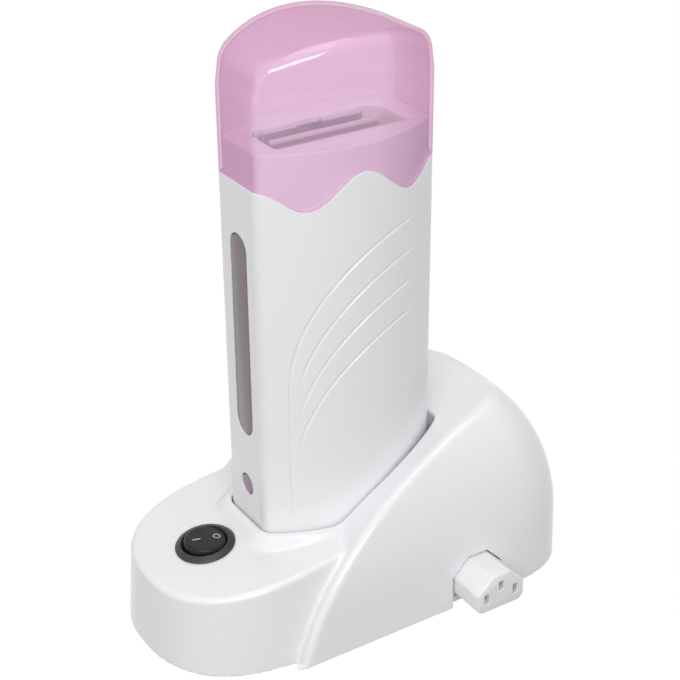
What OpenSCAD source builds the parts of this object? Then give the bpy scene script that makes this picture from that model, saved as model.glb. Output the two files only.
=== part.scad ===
// Roll-on wax heater: a heater handle with a see-through cap, standing in the well of its docking base.
// Millimetres. +Z is up and z = 0 is the surface that the base stands on. The origin is under the middle
// of the handle. The toe with the switch points to -X, the outlet side is -Y.

/* [Handle] */
// Length of the handle's cross-section, from the window face to the rear face
handle_len = 76.8; // [74:0.2:84]
// Thickness of the cross-section at its middle
handle_thick = 51.2; // [48:0.2:55]
// Radius of the two bowed broad faces
bow_r = 68; // [64:1:76]
// Radius of the four upright corners
corner_r = 6; // [5:0.5:8]
// Height of the handle's underside
handle_z = 20; // [18:0.5:24]
// Height of the collar's flat top
collar_top = 197.2; // [190:0.1:206]
// Wall of the handle's shell
handle_wall = 2.4; // [1.8:0.1:3]
// Thickness of the deck around the cartridge bay
deck_t = 2.6; // [2:0.1:4]

/* [Shoulder wave] */
// Mean height of the wavy shoulder that the cap's edge meets
wave_z = 181.5; // [178:0.5:184]
// Height of the middle crest above that mean, and depth of the troughs below it
wave_amp = 6; // [3:0.5:7]
// Distance of the two troughs from the middle
wave_half = 22; // [19:0.5:25]
// Rise from the troughs to the ends
wave_end_rise = 8; // [5:0.5:9]

/* [Cap] */
// Wall of the cap
cap_wall = 1.5; // [1.2:0.1:2]
// Gap between the cap and the collar, and between its edge and the shoulder
cap_gap = 0.3; // [0.2:0.05:0.4]
// Height of the cap's top in the middle
cap_top = 236.7; // [230:0.5:245]
// Radius of the arched top
cap_arch_r = 85; // [75:1:100]
// Radius where the arch turns into the end walls
cap_end_r = 11; // [6:0.5:12]

/* [Grips] */
// Number of curved grooves on each broad face
groove_count = 4; // [2:1:5]
// Height between two neighbouring grooves
groove_pitch = 12.5; // [10:0.5:14]
// Radius of a groove's sweep
groove_r = 60; // [54:1:64]
// Height of the top groove at its upper end
groove_top = 164; // [160:0.5:168]
// Groove width
groove_w = 1.3; // [0.8:0.1:2]
// Groove depth
groove_d = 0.6; // [0.4:0.1:0.9]
// Distance of the upright groove from the handle's middle
groove_x = 29.2; // [26:0.2:31]
// Step of the lower curved grooves away from the upright groove
groove_step = 1.5; // [0.5:0.1:3]

/* [Window and lamp] */
// Height of the window slot
window_h = 84; // [60:1:90]
// Width of the window slot
window_w = 12.4; // [9:0.2:14]
// Height of the window's middle
window_z = 121.8; // [115:0.2:128]
// Depth of the slot's bevel
window_bevel = 1; // [0.5:0.1:1.2]
// Diameter of the indicator lens
lamp_d = 8.8; // [7:0.2:10]
// Height of the indicator lens
lamp_z = 57.2; // [52:0.2:62]

/* [Cartridge bay] */
// Length of the bay
bay_len = 55.6; // [52:0.2:57]
// Width of the bay
bay_w = 21.5; // [20:0.5:23]
// Distance of the bay's near wall from the handle's middle
bay_near = 11; // [10:0.5:12]
// Radius of the bay's two far corners
bay_far_r = 7; // [4:0.5:9]
// Wall of the chamber that lines the bay
chamber_wall = 1.5; // [1.2:0.1:2]
// Height of the chamber's floor
chamber_z = 72; // [68:1:76]
// Thickness of the heating plate and of its cut-out in the chamber
heater_t = 1.5; // [1.2:0.1:2]
// Length of the heating plate
heater_len = 44; // [40:1:48]
// Length of a ceramic heater
ptc_len = 34; // [28:1:38]
// Height of a ceramic heater
ptc_h = 26; // [20:1:28]
// Thickness of a ceramic heater
ptc_t = 2.4; // [2:0.1:3]
// Height of the lower heater's lower edge
ptc_z = 104; // [100:1:108]
// Distance from one heater to the next
ptc_step = 38; // [34:1:42]
// Diameter of the thermal fuse
fuse_d = 4; // [3:0.2:4.4]
// Height of the hinge of the sprung pressure plate
press_z = 118; // [110:1:125]
// Thickness of the pressure plate
press_t = 1; // [0.8:0.1:1.2]
// Length of the pressure plate
press_len = 46; // [42:1:49]
// How far the plate sits off the bay's middle, towards the window
press_shift = 2; // [0:0.5:4]
// Diameter of its rolled top edge
press_roll_d = 3; // [2.4:0.2:3.4]
// Distance of the rolled edge from the bay's near wall
press_lean = 10; // [8:0.5:10.5]

/* [Platform] */
// Distance of the toe's tip from the handle's middle
toe_x = 86.8; // [84:0.5:92]
// Width of the platform at the floor
platform_w = 86; // [82:1:90]
// Length over which the toe rounds off
toe_run = 50; // [42:1:54]
// Height of the platform's top at the toe's tip
toe_z = 32.2; // [30:0.2:36]
// Slope of the platform's top in degrees
platform_slope = 7.6; // [6:0.2:10]
// Inset of the top edge from the floor outline
platform_draft = 2.2; // [1:0.2:4]
// Rounding of the top edge
platform_edge = 3; // [2:0.5:4]

/* [Heel] */
// Width of the heel at the floor
heel_w = 97.2; // [94:0.4:102]
// Distance of the heel's front from the handle's middle
heel_front = 42.8; // [42:0.5:46]
// Distance of the heel's rear from the handle's middle
heel_rear = 96.2; // [92:0.5:100]
// Where the heel's sides start to round towards the rear
heel_round_x = 55.6; // [50:1:60]
// Height at which the walls start to lean in
dome_z = 22; // [18:1:26]
// Height over which the walls lean in to the crown
dome_h = 62; // [58:1:68]
// How far the side walls lean in at the crown
dome_side = 37; // [32:1:40]
// How far the rear wall leans in at the crown
dome_rear = 49; // [40:1:50]
// Draft of all heel walls, as a slope
dome_draft = 0.03; // [0.02:0.005:0.05]
// Saddle of the scoop: how fast it rises away from the middle plane, per millimetre
scoop_saddle = 0.0045; // [0.003:0.0005:0.006]
// Wall of the base
base_wall = 2.4; // [2:0.1:3]

/* [Well] */
// Gap between the handle and the well
well_gap = 0.7; // [0.5:0.1:1]
// Extra length of the well behind the handle
well_slack = 2.6; // [1:0.2:4]
// Height of the well's raised front lip
well_lip = 42.8; // [41:0.2:45]
// Width over which the platform swells up to that lip
swell_w = 7; // [5:0.5:9]
// Height of that swell
swell_h = 5; // [3:0.2:7]

/* [Switch] */
// Distance of the switch from the handle's middle
switch_x = 58; // [57:0.2:62]
// Diameter of the bezel
bezel_d = 23.8; // [22:0.2:26]
// Height of the bezel
bezel_h = 2; // [1.5:0.1:2.5]
// Diameter of the switch's body and of its hole
switch_d = 20; // [19:0.2:20.4]
// Depth of the switch's body
switch_depth = 15; // [14:0.5:16]
// Radius of the rocker
rocker_r = 8.6; // [8.2:0.1:8.8]
// Tilt of the rocker to each side in degrees
rocker_tilt = 11; // [8:0.5:13]
// How far the switch is turned in its hole, in degrees
switch_turn = -15; // [-20:1:20]

/* [Outlet and inlet] */
// Distance of outlet and inlet from the handle's middle
outlet_x = 39; // [36:0.2:42]
// Height of their middle
outlet_z = 14; // [13:0.2:16]
// Width of the outlet's body
outlet_w = 22.8; // [22:0.1:24]
// Height of the outlet's body
outlet_h = 15.6; // [15:0.1:16]
// How far the outlet's face stands from the middle plane
outlet_reach = 64; // [62:0.5:66]
// Distance between the live and neutral slots
pin_pitch = 14; // [13.8:0.1:14.2]
// Height of the earth slot over the other two
earth_rise = 4; // [3.8:0.1:4.2]
// Length of a contact pin's section
pin_l = 4; // [3.8:0.1:4.2]
// Thickness of a contact pin
pin_t = 2; // [1.8:0.1:2.1]

/* [Contacts] */
// Distance between the two plungers
plunger_pitch = 24; // [20:1:30]
// Diameter of a plunger
plunger_d = 5; // [4:0.5:6]
// Travel of a plunger
plunger_travel = 1.5; // [1:0.1:1.8]

/* [Underside] */
// Height of the bottom plate's underside
plate_z = 1.2; // [1:0.1:2]
// Thickness of the bottom plate
plate_t = 2.4; // [2:0.1:3]
// Diameter of a rubber foot
foot_d = 14; // [10:1:16]
// Outer diameter of the ring under the plate that stands on the table below the contacts
rest_ring_d = 60; // [54:1:66]

/* [Hidden] */
$fn = 48;

// General fits
fit = 0.3;                                  // gap between neighbouring pieces
deep = 400;                                 // longer than anything that it cuts
fine_fn = 180;                              // sides drawn on the large bowed faces

// Handle
half_len = handle_len / 2;
crown = handle_thick / 2;
collar_inset = cap_wall + cap_gap;
collar_wall = 2;
collar_z = wave_z - wave_amp - 4;           // where the collar starts inside the body
trough_z = wave_z - wave_amp;
end_x = half_len;
bay_far = bay_w - bay_near;
deck_z = collar_top - deck_t;

// Base
slope_tan = tan(platform_slope);
platform_half = platform_w / 2;
heel_half = heel_w / 2;
function platform_top(x) = toe_z + slope_tan * (x + toe_x);
well_floor = handle_z - fit;
well_bottom = well_floor - base_wall;
switch_z = platform_top(-switch_x);
dome_power = 2.8;                           // roundness of the heel's plan
toe_power = 2.4;                            // roundness of the toe's plan

// Crest of the heel in side view: a curve with four control points
crest_curve = [[-heel_front, -8], [-29.2, 37], [4.8, 60], [66.8, 75.6]];

// Screw posts of the base, and feet
post_d = 8;
post_xy = [[-74.9, 0], [-22, 34], [-22, -34], [62, 33], [62, -33]];
foot_xy = [[-62, 24], [-62, -24], [74, 26], [74, -26]];
screw_d = 3;
screw_head_d = 5.6;
screw_head_h = 1.6;

// Screw posts of the handle
hpost_d = 6.4;
hpost_x = 31.5;
hpost_y = 6.5;
hpost_z = 46;

// ---------------------------------------------------------------------------------------------------
// Outlines

// Section with two bowed long sides, two flat ends and rounded corners, grown by g
module bowed_section(half_l, crown_y, bow, corner, g = 0) {
  centre = bow - crown_y;
  cx = half_l - corner;
  cy = sqrt(pow(bow - corner, 2) - cx * cx) - centre;
  tangent_x = cx * (bow + g) / (bow - corner);
  intersection() {
    translate([0, -centre]) circle(bow + g, $fn = fine_fn);
    translate([0, centre]) circle(bow + g, $fn = fine_fn);
    square([2 * tangent_x, 4 * crown_y], center = true);
  }
  square([2 * (half_l + g), 2 * cy], center = true);
  for (x = [-cx, cx], y = [-cy, cy]) translate([x, y]) circle(corner + g);
}

// The same section as a ring of points, clockwise from the middle of the far side
function section_points(g) =
  let (
    centre = bow_r - crown, reach = bow_r - corner_r, cx = half_len - corner_r,
    cy = sqrt(reach * reach - cx * cx) - centre, turn = asin(cx / reach), bow_steps = 12, corner_steps = 5,
    quarter = concat(
      [for (i = [0 : bow_steps]) let (t = turn * i / bow_steps)
        [(bow_r + g) * sin(t), (bow_r + g) * cos(t) - centre]],
      [for (i = [1 : corner_steps]) let (t = turn + (90 - turn) * i / corner_steps)
        [cx + (corner_r + g) * sin(t), cy + (corner_r + g) * cos(t)]]
    ),
    n = len(quarter) - 1
  )
  concat(
    quarter, [for (i = [n : -1 : 0]) [quarter[i][0], -quarter[i][1]]],
    [for (i = [1 : n]) [-quarter[i][0], -quarter[i][1]]],
    [for (i = [n : -1 : 1]) [-quarter[i][0], quarter[i][1]]]
  );

module handle_section(g = 0) bowed_section(half_len, crown, bow_r, corner_r, g);

// The well is a little longer than the handle, to the rear
module well_section(g = 0)
  for (shift = [0, well_slack]) translate([shift, 0]) polygon(section_points(well_gap + g));

// Cartridge bay: sharp near corners, round far corners
module bay_section(g = 0) {
  l = bay_len / 2 + g;
  r = bay_far_r + g;
  far = bay_far + g;
  translate([-l, -bay_near - g]) square([2 * l, far - r + bay_near + g]);
  translate([-l + r, -bay_near - g]) square([2 * (l - r), far + bay_near + g]);
  for (x = [-l + r, l - r]) translate([x, far - r]) circle(r);
}

// Upright slot with round ends
module slot_section(w, h, g = 0) {
  r = w / 2 + g;
  square([2 * r, h - w], center = true);
  for (s = [-1, 1]) translate([0, s * (h - w) / 2]) circle(r);
}

// Face of the three-slot appliance connector, grown by g
module connector_section(g = 0) {
  w = outlet_w / 2 + g;
  h = outlet_h / 2 + g;
  top = 4.5 + g * 0.4;
  cut = 2;
  polygon([
    [-w + cut, -h], [w - cut, -h], [w, -h + cut], [w, 1],
    [top, h], [-top, h], [-w, 1], [-w, -h + cut]
  ]);
}

// Places its children at the three contacts of a connector, in the connector's own plane
module at_contacts() {
  for (s = [-1, 1]) translate([s * pin_pitch / 2, -1.7]) children();
  translate([0, earth_rise - 1.7]) children();
}

// A quarter of a superellipse from the tip (t = 0) to the side (t = 90)
function super_point(a, b, n, t) = [a * pow(cos(t), 2 / n), b * pow(sin(t), 2 / n)];

// Platform outline, inset by d: a rounded toe and straight sides that end inside the heel
function platform_outline(d) =
  let (
    a = toe_run - d, b = platform_half - d, back = 60,
    side = [for (t = [0 : 6 : 90]) let (p = super_point(a, b, toe_power, t)) [-toe_x + toe_run - p[0], p[1]]]
  )
  concat(
    side, [[back, b], [back, -b]],
    [for (i = [len(side) - 1 : -1 : 1]) [side[i][0], -side[i][1]]]
  );

// Heel outline, inset by dx at the rear and by dy at the sides
function heel_outline(dx, dy, front = heel_front) =
  let (
    a = heel_rear - heel_round_x - dx, b = heel_half - dy,
    side = [for (t = [90 : -6 : 0]) let (p = super_point(a, b, dome_power, t)) [heel_round_x + p[0], p[1]]]
  )
  concat(
    [[-front, b]], side,
    [for (i = [len(side) - 2 : -1 : 0]) [side[i][0], -side[i][1]]], [[-front, -b]]
  );

// How far a dome wall leans in at height z, where the crown leans in by reach
function lean(z, reach) =
  let (u = max(0, min(1, (z - dome_z) / dome_h)))
  dome_draft * z + reach * (1 - sqrt(1 - u * u));

// Point of a cubic curve with control points p
function curve_at(p, t) =
  pow(1 - t, 3) * p[0] + 3 * pow(1 - t, 2) * t * p[1] + 3 * (1 - t) * t * t * p[2] + pow(t, 3) * p[3];

// Height of the wavy shoulder at x
function wave_at(x) =
  abs(x) < wave_half
    ? wave_z + wave_amp * cos(180 * abs(x) / wave_half)
    : trough_z + wave_end_rise / 2 * (1 - cos(180 * min(1, (abs(x) - wave_half) / (end_x - wave_half))));

// ---------------------------------------------------------------------------------------------------
// Solids shared by several pieces

// Turns a drawing in X and Z into a solid along Y, from y0 to y1
module along_y(y0, y1) translate([0, y1, 0]) rotate([90, 0, 0]) linear_extrude(y1 - y0) children();

// Turns a drawing in Y and Z into a solid along X, from x0 to x1
module along_x(x0, x1) translate([x0, 0, 0]) rotate([90, 0, 90]) linear_extrude(x1 - x0) children();

// Everything on one side of the wavy shoulder: below it, or above it when up is true
module wave_side(up, shift = 0) {
  step = 1.6;
  reach = 48;
  line = [for (x = [-reach : step : reach]) [x, wave_at(x) + shift]];
  far_z = up ? deep : 0;
  along_y(-60, 60) polygon(concat(line, [[reach, far_z], [-reach, far_z]]));
}

// Skin over a stack of rings that all have the same number of points, from the lowest ring to the highest
module loft(rings) {
  n = len(rings[0]);
  top = len(rings) - 1;
  polyhedron(
    [for (ring = rings) each ring],
    concat(
      [[for (j = [0 : n - 1]) n - 1 - j]], [[for (j = [0 : n - 1]) top * n + j]],
      [for (i = [0 : top - 1]) for (j = [0 : n - 1])
        let (k = (j + 1) % n, a = i * n + j, b = i * n + k) each [[a, b, a + n], [b, b + n, a + n]]]
    )
  );
}

// Seats its children in the plane of the platform's top, at the switch
module at_switch()
  translate([-switch_x, 0, switch_z]) rotate([0, -platform_slope, 0]) rotate(switch_turn) children();

module at_connector() translate([outlet_x, 0, outlet_z]) children();

// Round wire of radius r along a list of points, whose straight runs overlap a little at the bends
module wire(path, r) {
  last = len(path) - 2;
  for (i = [0 : last]) {
    d = path[i + 1] - path[i];
    from = i > 0 ? 0.4 * r : 0;
    to = i < last ? 0.4 * r : 0;
    translate(path[i]) rotate([0, acos(d[2] / norm(d)), atan2(d[1], d[0])])
      translate([0, 0, -from]) cylinder(r = r, h = norm(d) + from + to, $fn = 10);
  }
}

// Flat-headed screw with its head down at z = 0
module screw(length) {
  cylinder(d = screw_head_d, h = screw_head_h);
  cylinder(d = screw_d, h = length);
}

// ---------------------------------------------------------------------------------------------------
// Base

// The platform, all its faces inset by g; its top edge is rounded in a few steps
module platform_body(g = 0) {
  steps = 3;
  hull() loft(concat(
    [[for (p = platform_outline(g)) [p[0], p[1], g > 0 ? -1 : 0]]],
    [for (i = [0 : steps])
      let (a = 90 * i / steps, inset = g + platform_draft + platform_edge * (1 - cos(a)))
      [for (p = platform_outline(inset))
        [p[0], p[1], platform_top(p[0]) - g - platform_edge * (1 - sin(a))]]]
  ));
}

// The domed heel before the scoop is cut, all its faces inset by g
module heel_dome(g = 0) {
  levels = [0, 12, dome_z, 32, 42, 51, 59, 66, 72, 77, 81, 84];
  loft([for (z = levels)
    [for (p = heel_outline(g + lean(z, dome_rear), g + lean(z, dome_side), heel_front - g))
      [p[0], p[1], z > 0 ? z - g : g > 0 ? -1 : 0]]]);
}

// Everything above the scooped saddle that runs from the floor in front of the heel to its rear crest
module above_scoop(drop = 0) {
  rows = 26;
  cols = 14;
  half = 56;
  sky = 150;
  line = concat(
    [[-heel_front - 30, -20]],
    [for (i = [0 : rows]) curve_at(crest_curve, i / rows)],
    [[73, 84], [110, 120]]
  );
  m = len(line);
  n = cols + 1;
  ys = [for (j = [0 : cols]) -half + 2 * half * j / cols];
  low = [for (p = line) for (y = ys) [p[0], y, p[1] + scoop_saddle * y * y - drop]];
  high = [for (p = line) for (y = ys) [p[0], y, sky]];
  s = m * n;
  polyhedron(
    concat(low, high),
    concat(
      [for (i = [0 : m - 2]) for (j = [0 : n - 2]) let (a = i * n + j) each
        [[a, a + n, a + 1], [a + 1, a + n, a + n + 1]]],
      [for (i = [0 : m - 2]) for (j = [0 : n - 2]) let (a = s + i * n + j) [a, a + 1, a + n + 1, a + n]],
      [for (i = [0 : m - 2]) let (a = i * n) [a, s + a, s + a + n, a + n]],
      [for (i = [0 : m - 2]) let (a = i * n + n - 1) [a, a + n, s + a + n, s + a]],
      [for (j = [0 : n - 2]) [j, j + 1, s + j + 1, s + j]],
      [for (j = [0 : n - 2]) let (a = (m - 1) * n + j) [a, s + a, s + a + 1, a + 1]]
    )
  );
}

// Outer form of the base, or its inner face where g is the wall
module base_form(g = 0) {
  platform_body(g);
  difference() {
    heel_dome(g);
    above_scoop(g);
  }
}

// The platform's top swells up softly to the well's front lip, over swell_w and swell_h
module well_swell() {
  steps = 6;
  for (i = [0 : steps - 1]) hull() loft([for (k = [i, i + 1])
    let (out = well_gap + 1 + swell_w * (1 - acos(1 - 2 * k / steps) / 180))
    [for (p = section_points(out)) [p[0], p[1], well_lip - swell_h * (1 - k / steps)]]]);
}

module outlet_notch() {
  gap = 0.5;
  at_connector() along_y(-60, -40) {
    connector_section(gap);
    translate([-outlet_w / 2 - gap, -outlet_z - 1]) square([outlet_w + 2 * gap, outlet_z + 1]);
  }
}

module inlet_window() {
  translate([outlet_x, 50, outlet_z]) cube([inlet_w + 2 * fit, 20, inlet_h + 2 * fit], center = true);
}

module base_shell() color([0.95, 0.95, 0.96]) difference() {
  union() {
    difference() {
      union() {
        base_form();
        well_swell();
      }
      difference() {
        base_form(base_wall);
        translate([0, 0, well_bottom]) linear_extrude(80) well_section(base_wall);
        for (p = post_xy) translate([p[0], p[1], plate_z + plate_t]) cylinder(d = post_d, h = 80);
      }
    }
  }
  translate([0, 0, well_floor]) linear_extrude(100) well_section();
  contact_hole(fit);
  for (p = post_xy) translate([p[0], p[1], 0]) cylinder(d = screw_d + 0.1, h = plate_z + plate_t + 12);
  at_switch() {
    translate([0, 0, -20]) cylinder(d = switch_d + fit, h = 40);
    cylinder(d = bezel_d + 2 * fit, h = 20);
  }
  outlet_notch();
  inlet_window();
}

module bottom_plate() color([0.93, 0.93, 0.94]) difference() {
  g = base_wall + fit;
  union() {
    translate([0, 0, plate_z]) linear_extrude(plate_t) {
      polygon(platform_outline(g + 0.3));
      polygon(heel_outline(g, g, heel_front - g));
    }
    cylinder(d = rest_ring_d, h = plate_z + plate_t, $fn = 96);
  }
  translate([0, 0, -1]) cylinder(d = rest_ring_d - 6, h = plate_z + 1, $fn = 96);
  for (p = post_xy) translate([p[0], p[1], plate_z]) {
    translate([0, 0, -1]) cylinder(d = screw_d + 0.4, h = plate_t + 2);
    translate([0, 0, -1]) cylinder(d = screw_head_d + 0.6, h = screw_head_h + 1.1);
  }
  for (p = foot_xy) translate([p[0], p[1], -1]) cylinder(d = foot_d + 0.4, h = plate_z + 1.6);
}

module rubber_feet() color([0.2, 0.2, 0.2]) for (p = foot_xy) translate([p[0], p[1], 0]) {
  cylinder(d = foot_d - 1.2, h = plate_z);
  translate([0, 0, 0.4]) cylinder(d = foot_d, h = plate_z + 0.2);
}

module base_screws() color([0.7, 0.7, 0.72]) for (p = post_xy) translate([p[0], p[1], plate_z + 0.05])
  screw(12);

// Switch, drawn in its own frame: z = 0 is the platform's top, the rocker tilts about Y
pivot_z = 0;
pivot_r = 1.2;
rocker_gap = 0.3;

module switch_housing() color([0.12, 0.12, 0.13]) at_switch() difference() {
  rotate_extrude($fn = 96) polygon([
    [0, -switch_depth], [switch_d / 2 - 0.1, -switch_depth], [switch_d / 2 - 0.1, 0],
    [bezel_d / 2, 0], [bezel_d / 2, 0.5], [rocker_r + rocker_gap + 0.5, bezel_h], [0, bezel_h]
  ]);
  translate([0, 0, -rocker_r - 0.6]) cylinder(r = rocker_r + rocker_gap, h = 20, $fn = 96);
  translate([0, 0, pivot_z]) rotate([90, 0, 0])
    cylinder(r = pivot_r + 0.05, h = 2 * (switch_d / 2 - 0.5), center = true);
}

// The rocker stands at off: its far end is pressed, its toe end is raised
module switch_rocker() color([0.13, 0.13, 0.14])
  at_switch() translate([0, 0, pivot_z]) rotate([0, rocker_tilt, 0]) {
  difference() {
    sphere(rocker_r, $fn = 96);
    for (s = [-1, 1]) rotate([0, s * 4, 0]) translate([-20, -20, 3.2]) cube([40, 40, 20]);
    translate([-20, -20, -24]) cube([40, 40, 20]);
  }
  rotate([90, 0, 0]) cylinder(r = pivot_r, h = 2 * (switch_d / 2 - 0.8), center = true);
}

module switch_terminals() color([0.8, 0.75, 0.55]) at_switch() for (x = [-6, 0, 6])
  translate([x - 0.4, -2.4, -switch_depth - 7]) cube([0.8, 4.8, 7]);

inlet_w = outlet_w + 4;
inlet_h = outlet_h + 3.4;
flange_y = heel_half - base_wall - 1.2;
flange_t = 2.5;
flange_w = outlet_w + 9;
flange_h = outlet_h + 5;
slot_deep = 16;

// Flange behind the wall, which stands on the bottom plate
module connector_flange() {
  low = outlet_z - plate_z - plate_t - 0.1;
  translate([-flange_w / 2, -low]) square([flange_w, low + flange_h / 2]);
}

module outlet_body() color([0.96, 0.96, 0.97]) at_connector() difference() {
  union() {
    along_y(-outlet_reach, -30) connector_section();
    along_y(-flange_y, -flange_y + flange_t) connector_flange();
  }
  along_y(-outlet_reach - 1, -outlet_reach + slot_deep) at_contacts()
    square([pin_t + 0.6, pin_l + 0.6], center = true);
  along_y(-outlet_reach + slot_deep - 1, -29) at_contacts() square([pin_t + 0.6, pin_l + 0.2], center = true);
}

// Folded contact springs inside the outlet, with their tails for the wires
module outlet_contacts() color([0.8, 0.7, 0.4]) at_connector() {
  along_y(-outlet_reach + slot_deep - 8, -26) at_contacts() difference() {
    square([pin_t + 0.5, pin_l], center = true);
    square([pin_t - 0.3, pin_l + 1], center = true);
  }
  along_y(-28, -26) at_contacts() square([pin_t + 0.5, pin_l], center = true);
}

module inlet_body() color([0.15, 0.15, 0.16]) at_connector() difference() {
  front = heel_half - 1;
  union() {
    translate([-inlet_w / 2, 29, -inlet_h / 2]) cube([inlet_w, front - 29, inlet_h]);
    along_y(flange_y - flange_t, flange_y) connector_flange();
  }
  along_y(32.5, front + 1) connector_section(0.4);
  along_y(28, 33) at_contacts() square([pin_t, pin_l], center = true);
}

module inlet_pins() color([0.8, 0.78, 0.7]) at_connector()
  along_y(26, heel_half - 4) at_contacts() square([pin_t, pin_l], center = true);

block_l = 46;
block_w = 20;
plunger_top = handle_z + 0.5;

// Hole in the well's floor for the contact block, grown by g
module contact_hole(g = 0)
  translate([-block_l / 2 - g, -block_w / 2 - g, 0]) cube([block_l + 2 * g, block_w + 2 * g, 30]);

module at_plunger(which) translate([which * plunger_pitch / 2, 0, 0]) children();

module contact_block() color([0.25, 0.25, 0.27]) difference() {
  union() {
    translate([-block_l / 2, -block_w / 2, 8]) cube([block_l, block_w, well_floor - 8]);
    translate([-block_l / 2 - 3, -block_w / 2 - 3, well_bottom - 2.6]) cube([block_l + 6, block_w + 6, 2.5]);
  }
  for (s = [-1, 1]) at_plunger(s) {
    translate([0, 0, 9.5]) cylinder(d = plunger_d + 1.8, h = 7.6);
    translate([0, 0, 10]) cylinder(d = plunger_d + 0.1, h = 20);
  }
}

// Coil spring under a plunger, drawn as a sleeve of the coil's size
module plunger_spring(which) color([0.7, 0.7, 0.72]) at_plunger(which) translate([0, 0, 9.6]) difference() {
  cylinder(d = plunger_d + 1, h = 4.7);
  translate([0, 0, -1]) cylinder(d = plunger_d - 1, h = 8);
}

module spring_front() plunger_spring(-1);
module spring_rear() plunger_spring(1);

// Brass plunger with the shoulder that keeps it in the block
module plunger(which) color([0.85, 0.7, 0.35]) at_plunger(which) {
  translate([0, 0, 14.4]) cylinder(d = plunger_d + 1.2, h = 2.6);
  translate([0, 0, 14.4]) cylinder(d = plunger_d, h = plunger_top - 14.4);
}

module plunger_front() plunger(-1);
module plunger_rear() plunger(1);

module base_wiring() color([0.35, 0.25, 0.2]) {
  r = 0.9;
  thin = 0.7;
  live_x = outlet_x - pin_pitch / 2;
  neutral_x = outlet_x + pin_pitch / 2;
  pin_z = outlet_z - 1.7;
  block_x = plunger_pitch / 2;
  // Through-feed from the inlet's pins to the outlet's contacts
  for (x = [live_x, neutral_x]) wire([[x, 25.5, pin_z], [x, 20, 8], [x, -20, 8], [x, -25.5, pin_z]], r);
  wire([
    [outlet_x, 25.5, pin_z + 4], [outlet_x, 18, 12], [outlet_x, -18, 12], [outlet_x, -25.5, pin_z + 4]
  ], r);
  // Feeds of the contact block
  wire([[block_x, 0, 7.3], [block_x + 2, 0, 5.4], [live_x - 2, 0, 5.4], [live_x, 0, 7]], thin);
  wire([[-block_x, -6, 7.3], [-block_x + 2, -6, 5], [neutral_x - 2, -6, 5], [neutral_x, -6, 7]], thin);
  // Switch wires
  wire([[-55.9, 0, 13.7], [-51, 5, 8], [-26, 5, 5.2], [-20, 5, 7.3]], thin);
  wire([[-50.1, -1.5, 14.5], [-45, -5, 8], [-26, -5, 5.2], [-20, -5, 7.3]], thin);
}

// ---------------------------------------------------------------------------------------------------
// Handle

// Outline of the grooves: the upright groove runs on into the top sweep, the others start beside it
module groove_lines() {
  right = 26;
  lead = 11;
  for (i = [0 : groove_count - 1]) {
    low = groove_top - i * groove_pitch - groove_r;
    left = -groove_x + (i > 0 ? groove_step : 0);
    intersection() {
      translate([left + groove_r, low]) difference() {
        circle(groove_r + groove_w / 2, $fn = fine_fn);
        circle(groove_r - groove_w / 2, $fn = fine_fn);
      }
      translate([left - groove_w, low + (i > 0 ? lead : 0)]) square([right - left, groove_r]);
    }
  }
  translate([-groove_x - groove_w / 2, 47]) square([groove_w, groove_top - groove_r - 46.9]);
}

// Cutter for the grooves of the near face
module grooves() difference() {
  along_y(-crown - 5, -10) groove_lines();
  translate([0, bow_r - crown, 0]) cylinder(r = bow_r - groove_d, h = deep, $fn = fine_fn);
}

module window_cut() {
  at = [0, window_z];
  along_x(-half_len - 1, -half_len + 6) translate(at)
    slot_section(window_w - 2 * window_bevel, window_h - 2 * window_bevel);
  along_x(-half_len - 1, -half_len + window_bevel) translate(at) slot_section(window_w, window_h);
}

module handle_post_sites()
  for (x = [-hpost_x, hpost_x], y = [-hpost_y, hpost_y]) translate([x, y, 0]) children();

module handle_shell() color([0.96, 0.96, 0.97]) difference() {
  union() {
    intersection() {
      translate([0, 0, handle_z]) linear_extrude(wave_z + wave_amp + 2 - handle_z) handle_section();
      wave_side(false);
    }
    translate([0, 0, collar_z]) linear_extrude(collar_top - collar_z) handle_section(-collar_inset);
  }
  difference() {
    translate([0, 0, handle_z - 1]) linear_extrude(collar_z - handle_z + 1) handle_section(-handle_wall);
    translate([0, 0, handle_z + end_plate_t + 0.1]) {
      handle_post_sites() cylinder(d = hpost_d, h = hpost_z - handle_z);
      for (x = [-1, 1], y = [-hpost_y, hpost_y]) translate([x * (hpost_x + 4) - 4, y - 0.9, 0])
        cube([8, 1.8, hpost_z - handle_z]);
    }
  }
  translate([0, 0, collar_z - 1]) linear_extrude(deck_z - collar_z + 1)
    handle_section(-collar_inset - collar_wall);
  linear_extrude(deep) bay_section();
  handle_post_sites() cylinder(d = screw_d + 0.1, h = hpost_z - 4);
  window_cut();
  translate([0, 0, lamp_z]) rotate([0, -90, 0]) cylinder(d = lamp_d + 0.2, h = deep);
  grooves();
  mirror([0, 1, 0]) grooves();
}

end_plate_t = 2.5;

module end_plate() color([0.9, 0.9, 0.91]) difference() {
  translate([0, 0, handle_z]) linear_extrude(end_plate_t) handle_section(-handle_wall - fit);
  handle_post_sites() {
    cylinder(d = screw_d + 0.4, h = deep);
    cylinder(d = screw_head_d + 0.4, h = handle_z + screw_head_h + 0.1);
  }
  for (s = [-1, 1]) at_plunger(s) cylinder(d = 9.2, h = deep);
}

module handle_screws() color([0.7, 0.7, 0.72])
  handle_post_sites() translate([0, 0, handle_z + 0.05]) screw(10);

// Brass pads that the plungers press on, clipped into the end plate
module contact_pads() color([0.85, 0.7, 0.35]) for (s = [-1, 1]) at_plunger(s) {
  translate([0, 0, handle_z + 0.6]) cylinder(d = 9, h = 3);
  translate([0, 0, handle_z + end_plate_t]) cylinder(d = 11, h = 1.2);
}

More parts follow.
